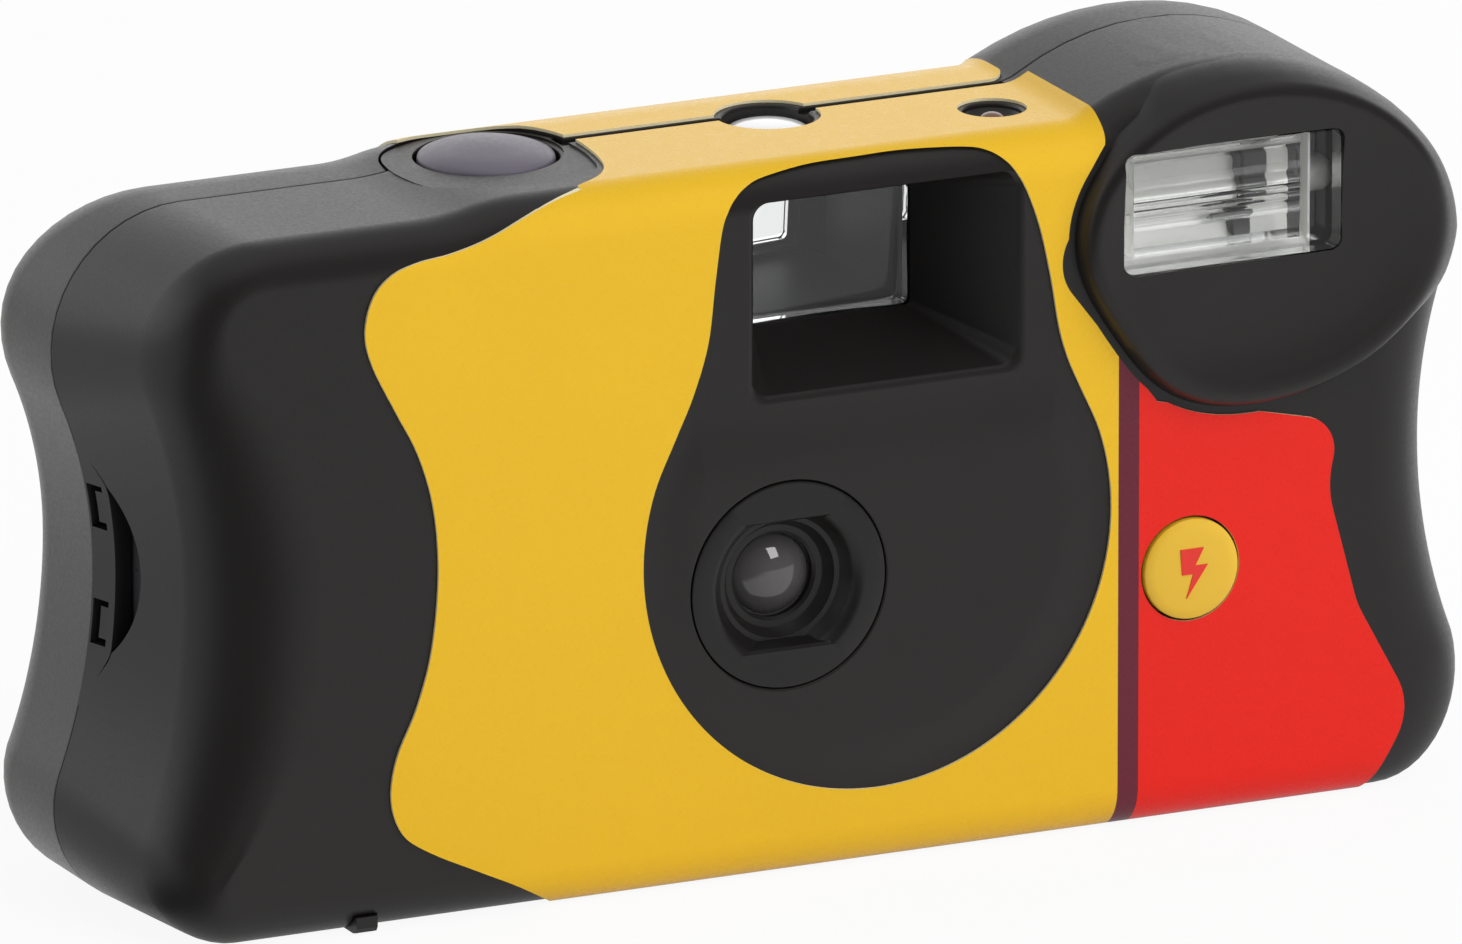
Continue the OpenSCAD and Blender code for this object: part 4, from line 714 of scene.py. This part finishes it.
cut(back, ball,
    disc(thumbwheel_r + run_gap, wheel_low - run_gap, wheel_low + wheel_t + run_gap, cartridge_at),
    disc(cartridge_room, wall, wheel_low - run_gap, cartridge_at),
    column(grow(deck_curve, 0.22), deck_top - deck_t - 1, above),
    slab(vf_x, eye_z, [(eye_front - 1, eye_w, eye_h, 0.8), (back_y - 0.5, eye_w, eye_h, 0.8),
    (back_y - 0.12, eye_w + 0.25, eye_h + 0.25, 0.9),
                       (back_y + 0.5, eye_w + 1.2, eye_h + 1.2, 1.2)]),
    *[box((-half_w - 1, seam_y - 1.9, z - 1.8), (waist_in + 1.6 - half_w, seam_y - 0.15,
    z + 1.8)) for z in latches],
    *door_cutters())
hook = shell(front_rings(0.2), front_rings(wall, 6))
hooks, upper = [box((-half_w - 1, seam_y - 2.0, z - 1.3), (waist_in + 3 - half_w, seam_y - 0.8,
    z + 1.25)) for z in latches]
add(hooks, upper)
add(back, keep(hook, hooks))
piece(back, "back_cover_skin", "camera", M["cover"], ["back_cover"])

# Labels
label_left = smooth_points([(-20.5, -1.0), (-25.5, 2.1), (-29.5, 4.1), (-33.5, 6.1), (-35.9, 7.9),
    (-36.9, 10.8), (-36.4, 14.2), (-34.7, 18.0),
                            (-33.4, 22.5), (-32.8, 28.5), (-33.2, 34.0), (-34.5, 38.5), (-36.4, 42.2),
                            (-38.4, 46.2), (-39.0, 49.0),
                            (-38.3, 51.7), (-36.7, 53.3), (-34.4, 54.0), (-31.8, 54.3), (-29.4, 54.8),
                            (-27.5, 55.4), (-25.6, 56.1),
                            (-23.5, 56.75), (-21.5, 57.2), (-19.4, 57.5)], 5)
label_right = [(-19.4, body_h + 2, 0), (25.2, body_h + 4, 0), (25.2, body_h - 1, 3), (20.4, 46.5, 4),
               (head_x - 8, head_z - head_b + 1.5, 0), (head_x, head_z - head_b - 0.2, 0),
               (half_w - 13, waist_z + 3.2, 3),
               (half_w - 14.2, waist_z - 2, 8), (half_w - 11.5, 16, 8), (half_w - 6.6, 7, 5),
               (half_w - 11.5, -2, 0)]
label_path = [(x, z, 0) for x, z in label_left] + label_right
tip = smooth_points([(-14.1, 3.0), (-14.1, -1.0), (-14.5, -4.5), (-15.2, -7.2), (-16.3, -9.1), (-17.7, -10.4),
    (-19.4, -11.35), (-21.4, -12.15),
                     (-23.5, -12.9)], 5)


class Label:
    """Thin sheet over a cover; after trimming, its cut edge is told from its two faces."""

    def __init__(self, w, d, face_y, way, y0):
        sides = [cover_rings(w, d, face_y, way, -t, 16, y0=y0) for t in (label_t, 0.02)]
        self.ob = shell(*sides, "label")
        self.flats = [face_y - way * t for t in (label_t, 0.02)]
        self.trees = [BVHTree.FromPolygons([tuple(v) for v in np.concatenate(r)],
                                           strips(r) + [tuple(range(len(r[0]) * (len(r) - 1),
                                           len(r[0]) * len(r)))]) for r in sides]

    def rim(self):
        me = self.ob.data
        tiny = 2e-3
        near = [[abs(v.co.y * 1000 - flat) < tiny or t.find_nearest(v.co * 1000)[3] < tiny
                 for v in me.vertices] for t, flat in zip(self.trees, self.flats)]
        return [not any(all(side[v] for v in p.vertices) for side in near) for p in me.polygons]


def label_holes(ob):
    cut(ob, *[disc(r, in_top, 62, (x, y, 0)) for x, y, r in
              ((counter_x, counter_y, counter_hole_r + 0.6), (lamp_x, lamp_y, lamp_hole_r + 0.45))],
        column(grow(deck_curve, 0.3), in_top - 2, above))


front = Label(front_w, front_d, front_y, 1, seam_y - 1.35)
label = front.ob
keep(label, prism(rounded_path(label_path), "y", front_y - 1, seam_y + 1))
round_part = [(mound_x + (mound_r + 0.7) * math.cos(a),
    mound_z + (mound_r + 0.7) * math.sin(a)) for a in np.radians(range(-210, 31, 12))]
open_field = closed_curve(round_part + [(21.6, 39.3), (20.8, 42.0), (20.1, 46.0), (19.2, 50.0), (18.2, 52.9),
    (17.3, 54.7), (16.4, 55.9), (15.1, 56.75),
                                        (13.2, 57.15), (8.4, 57.4), (4.0, 57.38), (-0.4, 57.3), (-4.3, 56.9),
                                        (-5.9, 56.45), (-7.0, 55.8),
                                        (-7.8, 54.9), (-8.4, 53.4), (-9.0, 49.2), (-9.6, 44.4),
                                        (-10.9, 40.3)])
cut(label, prism([tuple(v) for v in open_field], "y", front_y - 2, front_y + 3),
    disc(flash_button_r + 0.2, -front_y - 2, -front_y + 2, flash_at, "y"),
    prism([tuple(p) for p in head_oval(-0.45)], "y", front_y - 2, front_y + 6),
    prism([tuple(v) for v in tip] + [(-26, -12.9), (-26, 3)], "z", body_h - 1.2, body_h + 2),
    box((-60, front_y + 1.75, -3), (60, 20, 6)))
label_holes(label)
stripe = (26.0, 27.8)
bm = bmesh.new()
bm.from_mesh(label.data)
for x in stripe:
    bmesh.ops.bisect_plane(bm, geom=bm.verts[:] + bm.edges[:] + bm.faces[:], plane_co=(x, 0, 0),
        plane_no=(1, 0, 0))
bm.to_mesh(label.data)
bm.free()
piece(label, "front_label_sheet", "camera", [M["yellow"], M["plum"], M["red"], M["paper"]],
    ["front_label"])
for p, is_rim in zip(label.data.polygons, front.rim()):
    x = p.center.x * 1000
    p.material_index = 3 if is_rim else 0 if x < stripe[0] else 1 if x < stripe[1] else 2

rear_low, bend_z, bend_right, rear_right = lens_z - 14, body_h - 12, 15.0, 24.2
behind = Label(back_w, back_w, back_y, -1, seam_y + 0.2)
rear = behind.ob
keep(rear, prism(rounded_path([(-20, rear_low, 3), (36, rear_low, 3), (36, bend_z - 6, 3),
    (bend_right, bend_z, 3), (bend_right, body_h - 0.3, 0),
                               (rear_right, body_h - 0.3, 0), (rear_right, body_h + 2, 0),
                               (-26.2, body_h + 2, 0), (-26.2, body_h - 7, 3), (-20, bend_z - 8, 3)]),
                 "y", seam_y - 1, back_y + 1))
label_holes(rear)
turn = [(rear_right - 1.8 + 1.8 * math.cos(rad(a)), seam_y + 2.0 - 1.8 * math.sin(rad(a))) for a in range(0,
    91, 10)]
cut(rear, slab(vf_x, eye_z, [(seam_y + 2, eye_w + 2, eye_h + 2, 1.2),
    (back_y + 1, eye_w + 2, eye_h + 2, 1.2)]),
    prism(turn + [(rear_right - 1.8, seam_y - 1), (rear_right + 2, seam_y - 1),
    (rear_right + 2, seam_y + 2.0)], "z", 50, 64))
piece(rear, "rear_label_sheet", "camera", [M["yellow"], M["paper"]], ["rear_label"])
for p, is_rim in zip(rear.data.polygons, behind.rim()):
    p.material_index = 1 if is_rim else 0

# Shutter button
flange_low, flange_t, stem_low = 53.35, 1.2, lens_z + 18.7
dome = smooth_points([(button_r, deck_top - 0.2), (button_r - 0.1, deck_top + 0.12),
    (button_r - 0.5, deck_top + 0.42), (button_r - 1.5, deck_top + 0.78),
                      (button_r - 3.2, deck_top + 1.12), (0.9, deck_top + button_up - 0.02),
                      (0, deck_top + button_up)], 5)
button = lathe([(0, stem_low), (2, stem_low), (2, flange_low), (button_r + 1.1, flange_low),
    (button_r + 1.1, flange_low + flange_t),
                (button_r, flange_low + flange_t)] + [(max(a, 0), b) for a, b in dome],
                (button_x, button_y, 0), steps=128)
piece(button, "shutter_button_cap", "shutter_release", M["button"], ["shutter_button"])

# Flash button with its raised bolt sign
cap = 0.8
face = [(flash_button_r, -front_y + 0.3), (flash_button_r - 0.05, -front_y + 0.45),
    (flash_button_r - 0.25, -front_y + 0.58), (flash_button_r - 0.9, -front_y + 0.65),
        (flash_button_r * 0.5, -front_y + 0.72), (0, -front_y + cap - 0.05)]
flange = in_front + 0.05
fb = lathe([(0, -flange - 2.2), (1.5, -flange - 2.2), (1.5, -flange - 1), (flash_button_r + 1.2, -flange - 1),
    (flash_button_r + 1.2, -flange),
            (flash_button_r, -flange)] + face, flash_at, "y")
piece(fb, "flash_button_cap", "flash_switch", M["flash_button"], ["flash_button"])
bolt = [(-1.1, 1.75), (0.95, 1.75), (0.2, 0.35), (1.3, 0.35), (-0.55, -2.3), (0.0, -0.35), (-0.95, -0.35)]
sign = prism([(flash_button_x + a, flash_button_z + b) for a, b in bolt], "y", front_y - cap, front_y - 0.55,
    "sign")
piece(sign, "flash_button_sign", "flash_switch", M["bolt"])

# Lens ring and lens
face_up, lens_rim = -ring_front, 3.3
lens_back = -seat_y + 0.05
ring = lathe([(0, -ring_back), (ring_r, -ring_back), (ring_r, face_up - 0.25),
    (ring_r - 0.08, face_up - 0.07), (ring_r - 0.25, face_up),
              (0, face_up)], lens_at, "y", 160, "ring")
add(ring, disc(lens_r - 0.15, lens_back + 0.2, -ring_back + 0.5, lens_at, "y", 160))
mouth = lathe([(0, lens_back - 1), (lens_rim + 0.1, lens_back - 1), (lens_rim + 0.1, lens_back + 0.75),
    (lens_rim + 0.35, lens_back + 0.95), (4.15, lens_back + 1.0),
               (4.25, lens_back + 1.1), (4.75, face_up - 1.75), (5.15, face_up - 1.7), (5.25, face_up - 1.6),
               (5.75, face_up - 0.75), (5.85, face_up - 0.6),
               (6.15, face_up - 0.28), (6.4, face_up - 0.1), (6.75, face_up), (7, face_up + 1),
               (0, face_up + 1)], lens_at, "y", 160)
level = [(lens_z - 5.5, face_up + 1), (lens_z - 5.3, face_up - 0.06), (lens_z - 5.1, face_up - 0.35),
    (lens_z - 4.6, lens_back + 0.9), (lens_z - 4.6, lens_back - 2),
         (lens_z + 4.6, lens_back - 2), (lens_z + 4.6, lens_back + 0.9), (lens_z + 5.1, face_up - 0.35),
         (lens_z + 5.3, face_up - 0.06), (lens_z + 5.5, face_up + 1)]
keep(mouth, prism([(-up, z) for z, up in level], "x", lens_x - 9, lens_x + 9))
cut(ring, mouth)
piece(ring, "lens_ring_skin", "camera", M["ring"], ["lens_ring"])
ball_r = 4.3
sag = [(lens_rim * math.sin(rad(a)),
    lens_back + 0.15 + math.sqrt(ball_r ** 2 - (lens_rim * math.sin(rad(a))) ** 2)
        - math.sqrt(ball_r ** 2 - lens_rim ** 2)) for a in range(90, -1, -5)]
glass = lathe([(0, lens_back), (lens_r - 0.1, lens_back), (lens_r - 0.1, lens_back + 0.14),
    (lens_rim + 0.05, lens_back + 0.14)] +
              [(max(r, 0), up) for r, up in sag], lens_at, "y", 128)
piece(glass, "taking_lens_glass", "camera", M["lens"], ["taking_lens"])

# Viewfinder
vf = slab(vf_x, vf_z, [(vf_back + 0.2, vf_w - 0.5, vf_h - 0.5, 0.5),
    (vf_back + 0.45, vf_w - 0.04, vf_h - 0.04, 0.5), (vf_back + 1.6, vf_w - 0.04, vf_h - 0.04, 0.5)])
bowl_r = 42.0
bowl = [(bowl_r * math.sin(math.pi * i / 240), -bowl_r * math.cos(math.pi * i / 240)) for i in range(0, 25)]
cut(vf, lathe(bowl + [(0, bowl[-1][1])], (vf_x, vf_back + 1.15 - bowl_r, vf_z), "y", 128, "bowl"))
piece(vf, "viewfinder_front_glass", "camera", M["glass"], ["viewfinder_front_lens"])
eye = slab(vf_x, eye_z, [(eye_front - 0.9, eye_w + 2, eye_h + 1.6, 0.6),
    (eye_front - 0.05, eye_w + 2, eye_h + 1.6, 0.6),
                         (eye_front - 0.04, eye_w - 0.3, eye_h - 0.3, 0.6),
                         (in_back + 0.2, eye_w - 0.3, eye_h - 0.3, 0.6),
                         (in_back + 0.4, eye_w - 0.7, eye_h - 0.7, 0.5)])
piece(eye, "viewfinder_eye_glass", "camera", M["glass"], ["viewfinder_eyepiece"])

# Flash window, reflector and tube
w, h = window_w - 0.2, window_h - 0.2
win = slab(window_x, window_z, [(front_y - 1.3, w - 0.5, h - 0.5, 0.9),
    (front_y - 1.24, w - 0.16, h - 0.16, 0.95), (front_y - 1.05, w, h, 1.0),
                                (in_front + 0.05, w, h, 1.0), (in_front + 0.051, w + 1.4, h + 1.4, 0.6),
                                (in_front + 1, w + 1.4, h + 1.4, 0.6)])
rib = np.linspace(-1, 1, 121)
ribs = [(front_y + 0.3 + 0.14 * abs(math.sin(11.0 * k + 1.6 * math.sin(5.0 * k))),
    window_z + float(k) * (h / 2 - 1.1)) for k in rib]
cut(win, prism(ribs + [(in_front + 2, window_z + h / 2 - 1.1), (in_front + 2, window_z - h / 2 + 1.1)], "x",
               window_x - w / 2 + 1.4, window_x + w / 2 - 3.2))
piece(win, "flash_window_ribbed", "camera", M["glass"], ["flash_window"])
ref_front, tube_r, tube_in = in_front + 1.1, 1.5, 2.6
trough = box((window_x - window_w / 2 - 0.4, ref_front, window_z - window_h / 2 - 0.4),
    (window_x + window_w / 2 - 1.7, ref_front + 6.5, window_z + window_h / 2 + 0.4))
ridge = np.linspace(0, 1, 121)
dish_r = window_h / 2 - 0.2
depth = 0.4 * dish_r * np.sqrt(np.maximum(1 - (2 * ridge - 1) ** 2,
    0)) - 0.1 * np.abs(np.sin(ridge * 17.0 + 2.4 * np.sin(ridge * 9.0)))
hollow = [(ref_front - 1, window_z - dish_r), (ref_front - 1, window_z + dish_r)] + [
    (ref_front + max(float(dd), 0.02), window_z + dish_r * (1 - 2 * float(k))) for k, dd in zip(ridge, depth)]
cut(trough, prism(hollow, "x", window_x - window_w / 2 + 0.3, window_x + window_w / 2 - 1.9))
rod = disc(tube_r + 0.05, -window_w / 2 - 1, window_w / 2 + 1, (0, 0, 0), steps=48)
rod.data.transform(Matrix.Translation((window_x, ref_front + tube_in,
    window_z)) @ Matrix.Rotation(math.pi / 2, 4, "Y"))
cut(trough, rod)
piece(trough, "flash_reflector_trough", "camera", M["mirror"], ["flash_reflector"])
n = window_w / 2 + 1.1
tube = lathe([(0, -n), (0.9, -n), (1.3, -n + 0.3), (tube_r, -n + 0.8), (tube_r, n - 0.8), (1.3, n - 0.3),
    (0.9, n), (0, n)], (0, 0, 0), steps=48)
tube.data.transform(Matrix.Translation((window_x, ref_front + tube_in,
    window_z)) @ Matrix.Rotation(math.pi / 2, 4, "Y"))
piece(tube, "flash_tube_glass", "camera", M["tube"], ["flash_tube"])
clip = slab(window_x + 3.6, window_z + 1.6, [(ref_front + 0.15, 1.9, 4.6, 0.5),
    (ref_front + 0.4, 2.3, 5.0, 0.7), (ref_front + 4.0, 2.3, 5.0, 0.7)])
add(clip, slab(window_x + 1.7, window_z - 1.5, [(ref_front + 0.35, 3.6, 0.9, 0.3),
    (ref_front + 0.5, 3.9, 1.2, 0.4), (ref_front + 4.0, 3.9, 1.2, 0.4)]),
    slab(window_x + 2.6, window_z - 3.3, [(ref_front + 0.35, 1.4, 1.5, 0.3), (ref_front + 0.5, 1.7, 1.8, 0.4),
    (ref_front + 4.0, 1.7, 1.8, 0.4)]))
piece(clip, "flash_tube_clip", "camera", M["ring"])

# Counter and ready lamp
hole = counter_hole_r - fit_gap
cw = lathe([(0, in_top - 0.5), (counter_hole_r + 0.8, in_top - 0.5), (counter_hole_r + 0.8, in_top - 0.05),
    (hole, in_top - 0.05), (hole, in_top + 0.35)] +
           [(hole * math.cos(rad(a)) ** 0.8, in_top + 0.35 + 0.9 * math.sin(rad(a))) for a in range(8, 90,
           8)] + [(0, in_top + 1.25)],
           (counter_x, counter_y, 0))
cut(cw, column(grow(deck_curve, 0.2), in_top - 1, in_top + 1.0))
piece(cw, "counter_window_dome", "camera", M["milk"], ["counter_window"])
wheel = lathe([(1.05, counter_wheel_z), (counter_wheel_r - 0.1, counter_wheel_z),
    (counter_wheel_r, counter_wheel_z + 0.1), (counter_wheel_r, counter_wheel_z + 0.55),
               (counter_wheel_r - 0.1, counter_wheel_z + 0.65), (1.05, counter_wheel_z + 0.65)],
               (counter_wheel_x, counter_wheel_y, 0))
bm = bmesh.new()
bm.from_mesh(wheel.data)
bmesh.ops.delete(bm, geom=[f for f in bm.faces if len(f.verts) > 10], context="FACES")
rims = [e for e in bm.edges if e.is_boundary]
bmesh.ops.bridge_loops(bm, edges=rims)
bm.to_mesh(wheel.data)
bm.free()
teeth = [box((-0.12, counter_wheel_r - 0.45, counter_wheel_z - 1),
    (0.12, counter_wheel_r + 1, counter_wheel_z + 2)) for k in range(36)]
for k, tooth in enumerate(teeth):
    tooth.data.transform(Matrix.Translation((counter_wheel_x, counter_wheel_y,
        0)) @ Matrix.Rotation(math.pi * k / 18, 4, "Z"))
cut(wheel, *teeth)
piece(wheel, "counter_dial", "counter", M["white"], ["counter_wheel"])
ll = lathe([(0, in_top - 3), (pipe_r, in_top - 3), (pipe_r, in_top - 1.1), (pipe_r + 0.8, in_top - 1.1),
    (pipe_r + 0.8, in_top - 0.05), (pipe_r, in_top - 0.05)] +
           [(pipe_r * math.cos(rad(a)), body_h - 1 + 0.9 * math.sin(rad(a))) for a in range(0, 91, 10)],
           (lamp_x, lamp_y, 0), steps=64)
piece(ll, "ready_lamp_dome", "camera", M["amber"], ["ready_lamp_lens"])

# Film door with its tab
edge_r = door_t / 2
plate = rounded_rect(door_w, door_back - edge_r - door_front, 0.4)
mid_y = (door_back - edge_r + door_front) / 2
rings = [np.array([(cartridge_x + a * k, mid_y + b * k, z) for a, b in plate]) for z, k in
         ((door_low, 0.985), (door_low + 0.15, 1.0), (door_low + door_t, 1.0))]
door = loft(rings, "door")
hinge = disc(edge_r, -door_w / 2, door_w / 2, (0, 0, 0), steps=32)
hinge.data.transform(Matrix.Translation((cartridge_x, door_back - edge_r,
    door_low + edge_r)) @ Matrix.Rotation(math.pi / 2, 4, "Y"))
add(door, hinge, prism([(front_y + 0.2, door_low + 0.5), (front_y + 0.45, door_low + 0.12),
    (front_y + 0.9, door_low), (door_front + 0.4, door_low),
                        (door_front + 0.4, door_low + door_t), (front_y + 0.2, door_low + door_t)], "x",
                        door_tab_x - door_tab_w / 2, door_tab_x + door_tab_w / 2))
piece(door, "film_door_plate", "door", M["cover"], ["film_door"])

# Finishes of the solids that stay
finish = {
    "main_frame": "dark", "button_spring": "steel", "ready_lamp": "amber", "flash_contact": "brass",
        "circuit_board": "board",
    "capacitor": "can", "transformer": "copper", "trigger_coil": "copper", "battery": "cell",
    "battery_contact_plus": "steel",
    "battery_contact_minus": "steel", "shutter_blade": "dark", "shutter_spring": "steel",
    "release_lever": "steel",
    "release_spring": "steel", "film_cartridge": "can_film", "cartridge_spool": "dark", "film_strip": "film",
    "film_roll": "film",
    "supply_spool": "dark", "thumbwheel": "cover", "ratchet_pawl": "steel", "sprocket_wheel": "nylon"}
for name, look in finish.items():
    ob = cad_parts[name]
    ob.data.materials.clear()
    ob.data.materials.append(M[look])
bpy.data.collections.remove(temp)

# Floor, light and camera
bm = bmesh.new()
bmesh.ops.create_grid(bm, x_segments=4, y_segments=4, size=3.0)
me = bpy.data.meshes.new("floor")
bm.to_mesh(me)
bm.free()
floor = bpy.data.objects.new("floor", me)
bpy.context.scene.collection.objects.link(floor)


def link_math(nt, how, a, b):
    node = nt.nodes.new("ShaderNodeMath")
    node.operation = how
    for sock, v in zip(node.inputs, (a, b)):
        if isinstance(v, (int, float)):
            sock.default_value = v
        else:
            nt.links.new(v, sock)
    return node.outputs[0]


def ramp(nt, source, a, b, lo, hi):
    node = nt.nodes.new("ShaderNodeMapRange")
    node.interpolation_type = "SMOOTHSTEP"
    for key, v in (("From Min", a), ("From Max", b), ("To Min", lo), ("To Max", hi)):
        node.inputs[key].default_value = v
    nt.links.new(source, node.inputs["Value"])
    return node.outputs["Result"]


m = bpy.data.materials.new("floor_white")
m.use_nodes = True
nt = m.node_tree
nt.nodes.clear()
out = nt.nodes.new("ShaderNodeOutputMaterial")
paper = nt.nodes.new("ShaderNodeBsdfDiffuse")
paper.inputs["Color"].default_value = (0.86, 0.86, 0.86, 1)
glow = nt.nodes.new("ShaderNodeEmission")
place = nt.nodes.new("ShaderNodeSeparateXYZ")
nt.links.new(nt.nodes.new("ShaderNodeTexCoord").outputs["Object"], place.inputs[0])
path = nt.nodes.new("ShaderNodeLightPath")
# The floor reflects darker towards the camera and brighter behind the left end
turn = link_math(nt, "ARCTAN2", place.outputs["Y"], link_math(nt, "ADD", place.outputs["X"], 0.056))
behind = link_math(nt, "MULTIPLY", ramp(nt, turn, 2.1, 2.6, 1.0, 0.0),
    ramp(nt, place.outputs["Y"], -0.01, 0.005, 0.0, 1.0))
off = link_math(nt, "ABSOLUTE", link_math(nt, "ADD", turn, 2.06), 0.0)
near = link_math(nt, "MAXIMUM", behind, ramp(nt, off, 0.25, 0.85, 0.03, 0.6))
nt.links.new(link_math(nt, "MAXIMUM", near, path.outputs["Is Camera Ray"]), glow.inputs["Strength"])
seen = link_math(nt, "MAXIMUM", link_math(nt, "MAXIMUM", path.outputs["Is Camera Ray"],
    path.outputs["Is Glossy Ray"]), path.outputs["Is Transmission Ray"])
mix = nt.nodes.new("ShaderNodeMixShader")
nt.links.new(link_math(nt, "MULTIPLY", seen, 0.92), mix.inputs[0])
nt.links.new(paper.outputs[0], mix.inputs[1])
nt.links.new(glow.outputs[0], mix.inputs[2])
nt.links.new(mix.outputs[0], out.inputs["Surface"])
me.materials.append(m)

scene = bpy.context.scene
world = bpy.data.worlds.new("studio")
world.use_nodes = True
scene.world = world
nt = world.node_tree
bg = nt.nodes["Background"]
way = nt.nodes.new("ShaderNodeTexCoord").outputs["Generated"]
dot = nt.nodes.new("ShaderNodeVectorMath")
dot.operation = "DOT_PRODUCT"
dot.inputs[1].default_value = Vector((-0.25, 0.95, 0.18)).normalized()
nt.links.new(way, dot.inputs[0])
place = nt.nodes.new("ShaderNodeSeparateXYZ")
nt.links.new(way, place.inputs[0])
level = link_math(nt, "MULTIPLY", ramp(nt, dot.outputs["Value"], -0.3, 0.6, 0.08, 1.4),
    ramp(nt, place.outputs["Z"], 0.35, 0.85, 1.0, 0.35))
level = link_math(nt, "MAXIMUM", level, ramp(nt, place.outputs["Z"], 0.6, 0.95, 0.0, 0.6))
seen = nt.nodes.new("ShaderNodeLightPath").outputs["Is Camera Ray"]
nt.links.new(link_math(nt, "MAXIMUM", level, seen), bg.inputs["Strength"])
bg.inputs["Color"].default_value = (1, 1, 1, 1)


def area(name, at, aim, wide, high, power):
    data = bpy.data.lights.new(name, "AREA")
    data.shape, data.size, data.size_y, data.energy = "RECTANGLE", wide, high, power
    ob = bpy.data.objects.new(name, data)
    ob.location = at
    ob.rotation_euler = (Vector(aim) - Vector(at)).to_track_quat("-Z", "Y").to_euler()
    scene.collection.objects.link(ob)
    return ob


key = area("key", (0.75, -1.0, 0.75), (0.0, 0.0, 0.03), 1.7, 1.7, 24.0)
key.visible_glossy = False
# A second lamp for the lens and the flash window alone
glint = area("glint", (0.42, -1.0, 1.0), (0.004, -0.012, 0.02), 0.5, 1.0, 7.9)
lit = bpy.data.collections.new("glint_on")
for ob in (glass, win):
    lit.objects.link(ob)
glint.light_linking.receiver_collection = lit

aim = Vector((-0.0008, 0.0, 0.02906))
az, el, dist = rad(25.5), rad(16.5), 0.11467 * 800 / 36
data = bpy.data.cameras.new("camera")
data.lens, data.sensor_width = 800.0, 36.0
data.clip_start, data.clip_end = 0.1, 20.0
cam = bpy.data.objects.new("camera", data)
cam.location = aim + dist * Vector((-math.sin(az) * math.cos(el), -math.cos(az) * math.cos(el), math.sin(el)))
cam.rotation_euler = (aim - cam.location).to_track_quat("-Z", "Y").to_euler()
scene.collection.objects.link(cam)
scene.camera = cam
scene.view_settings.view_transform = "Standard"
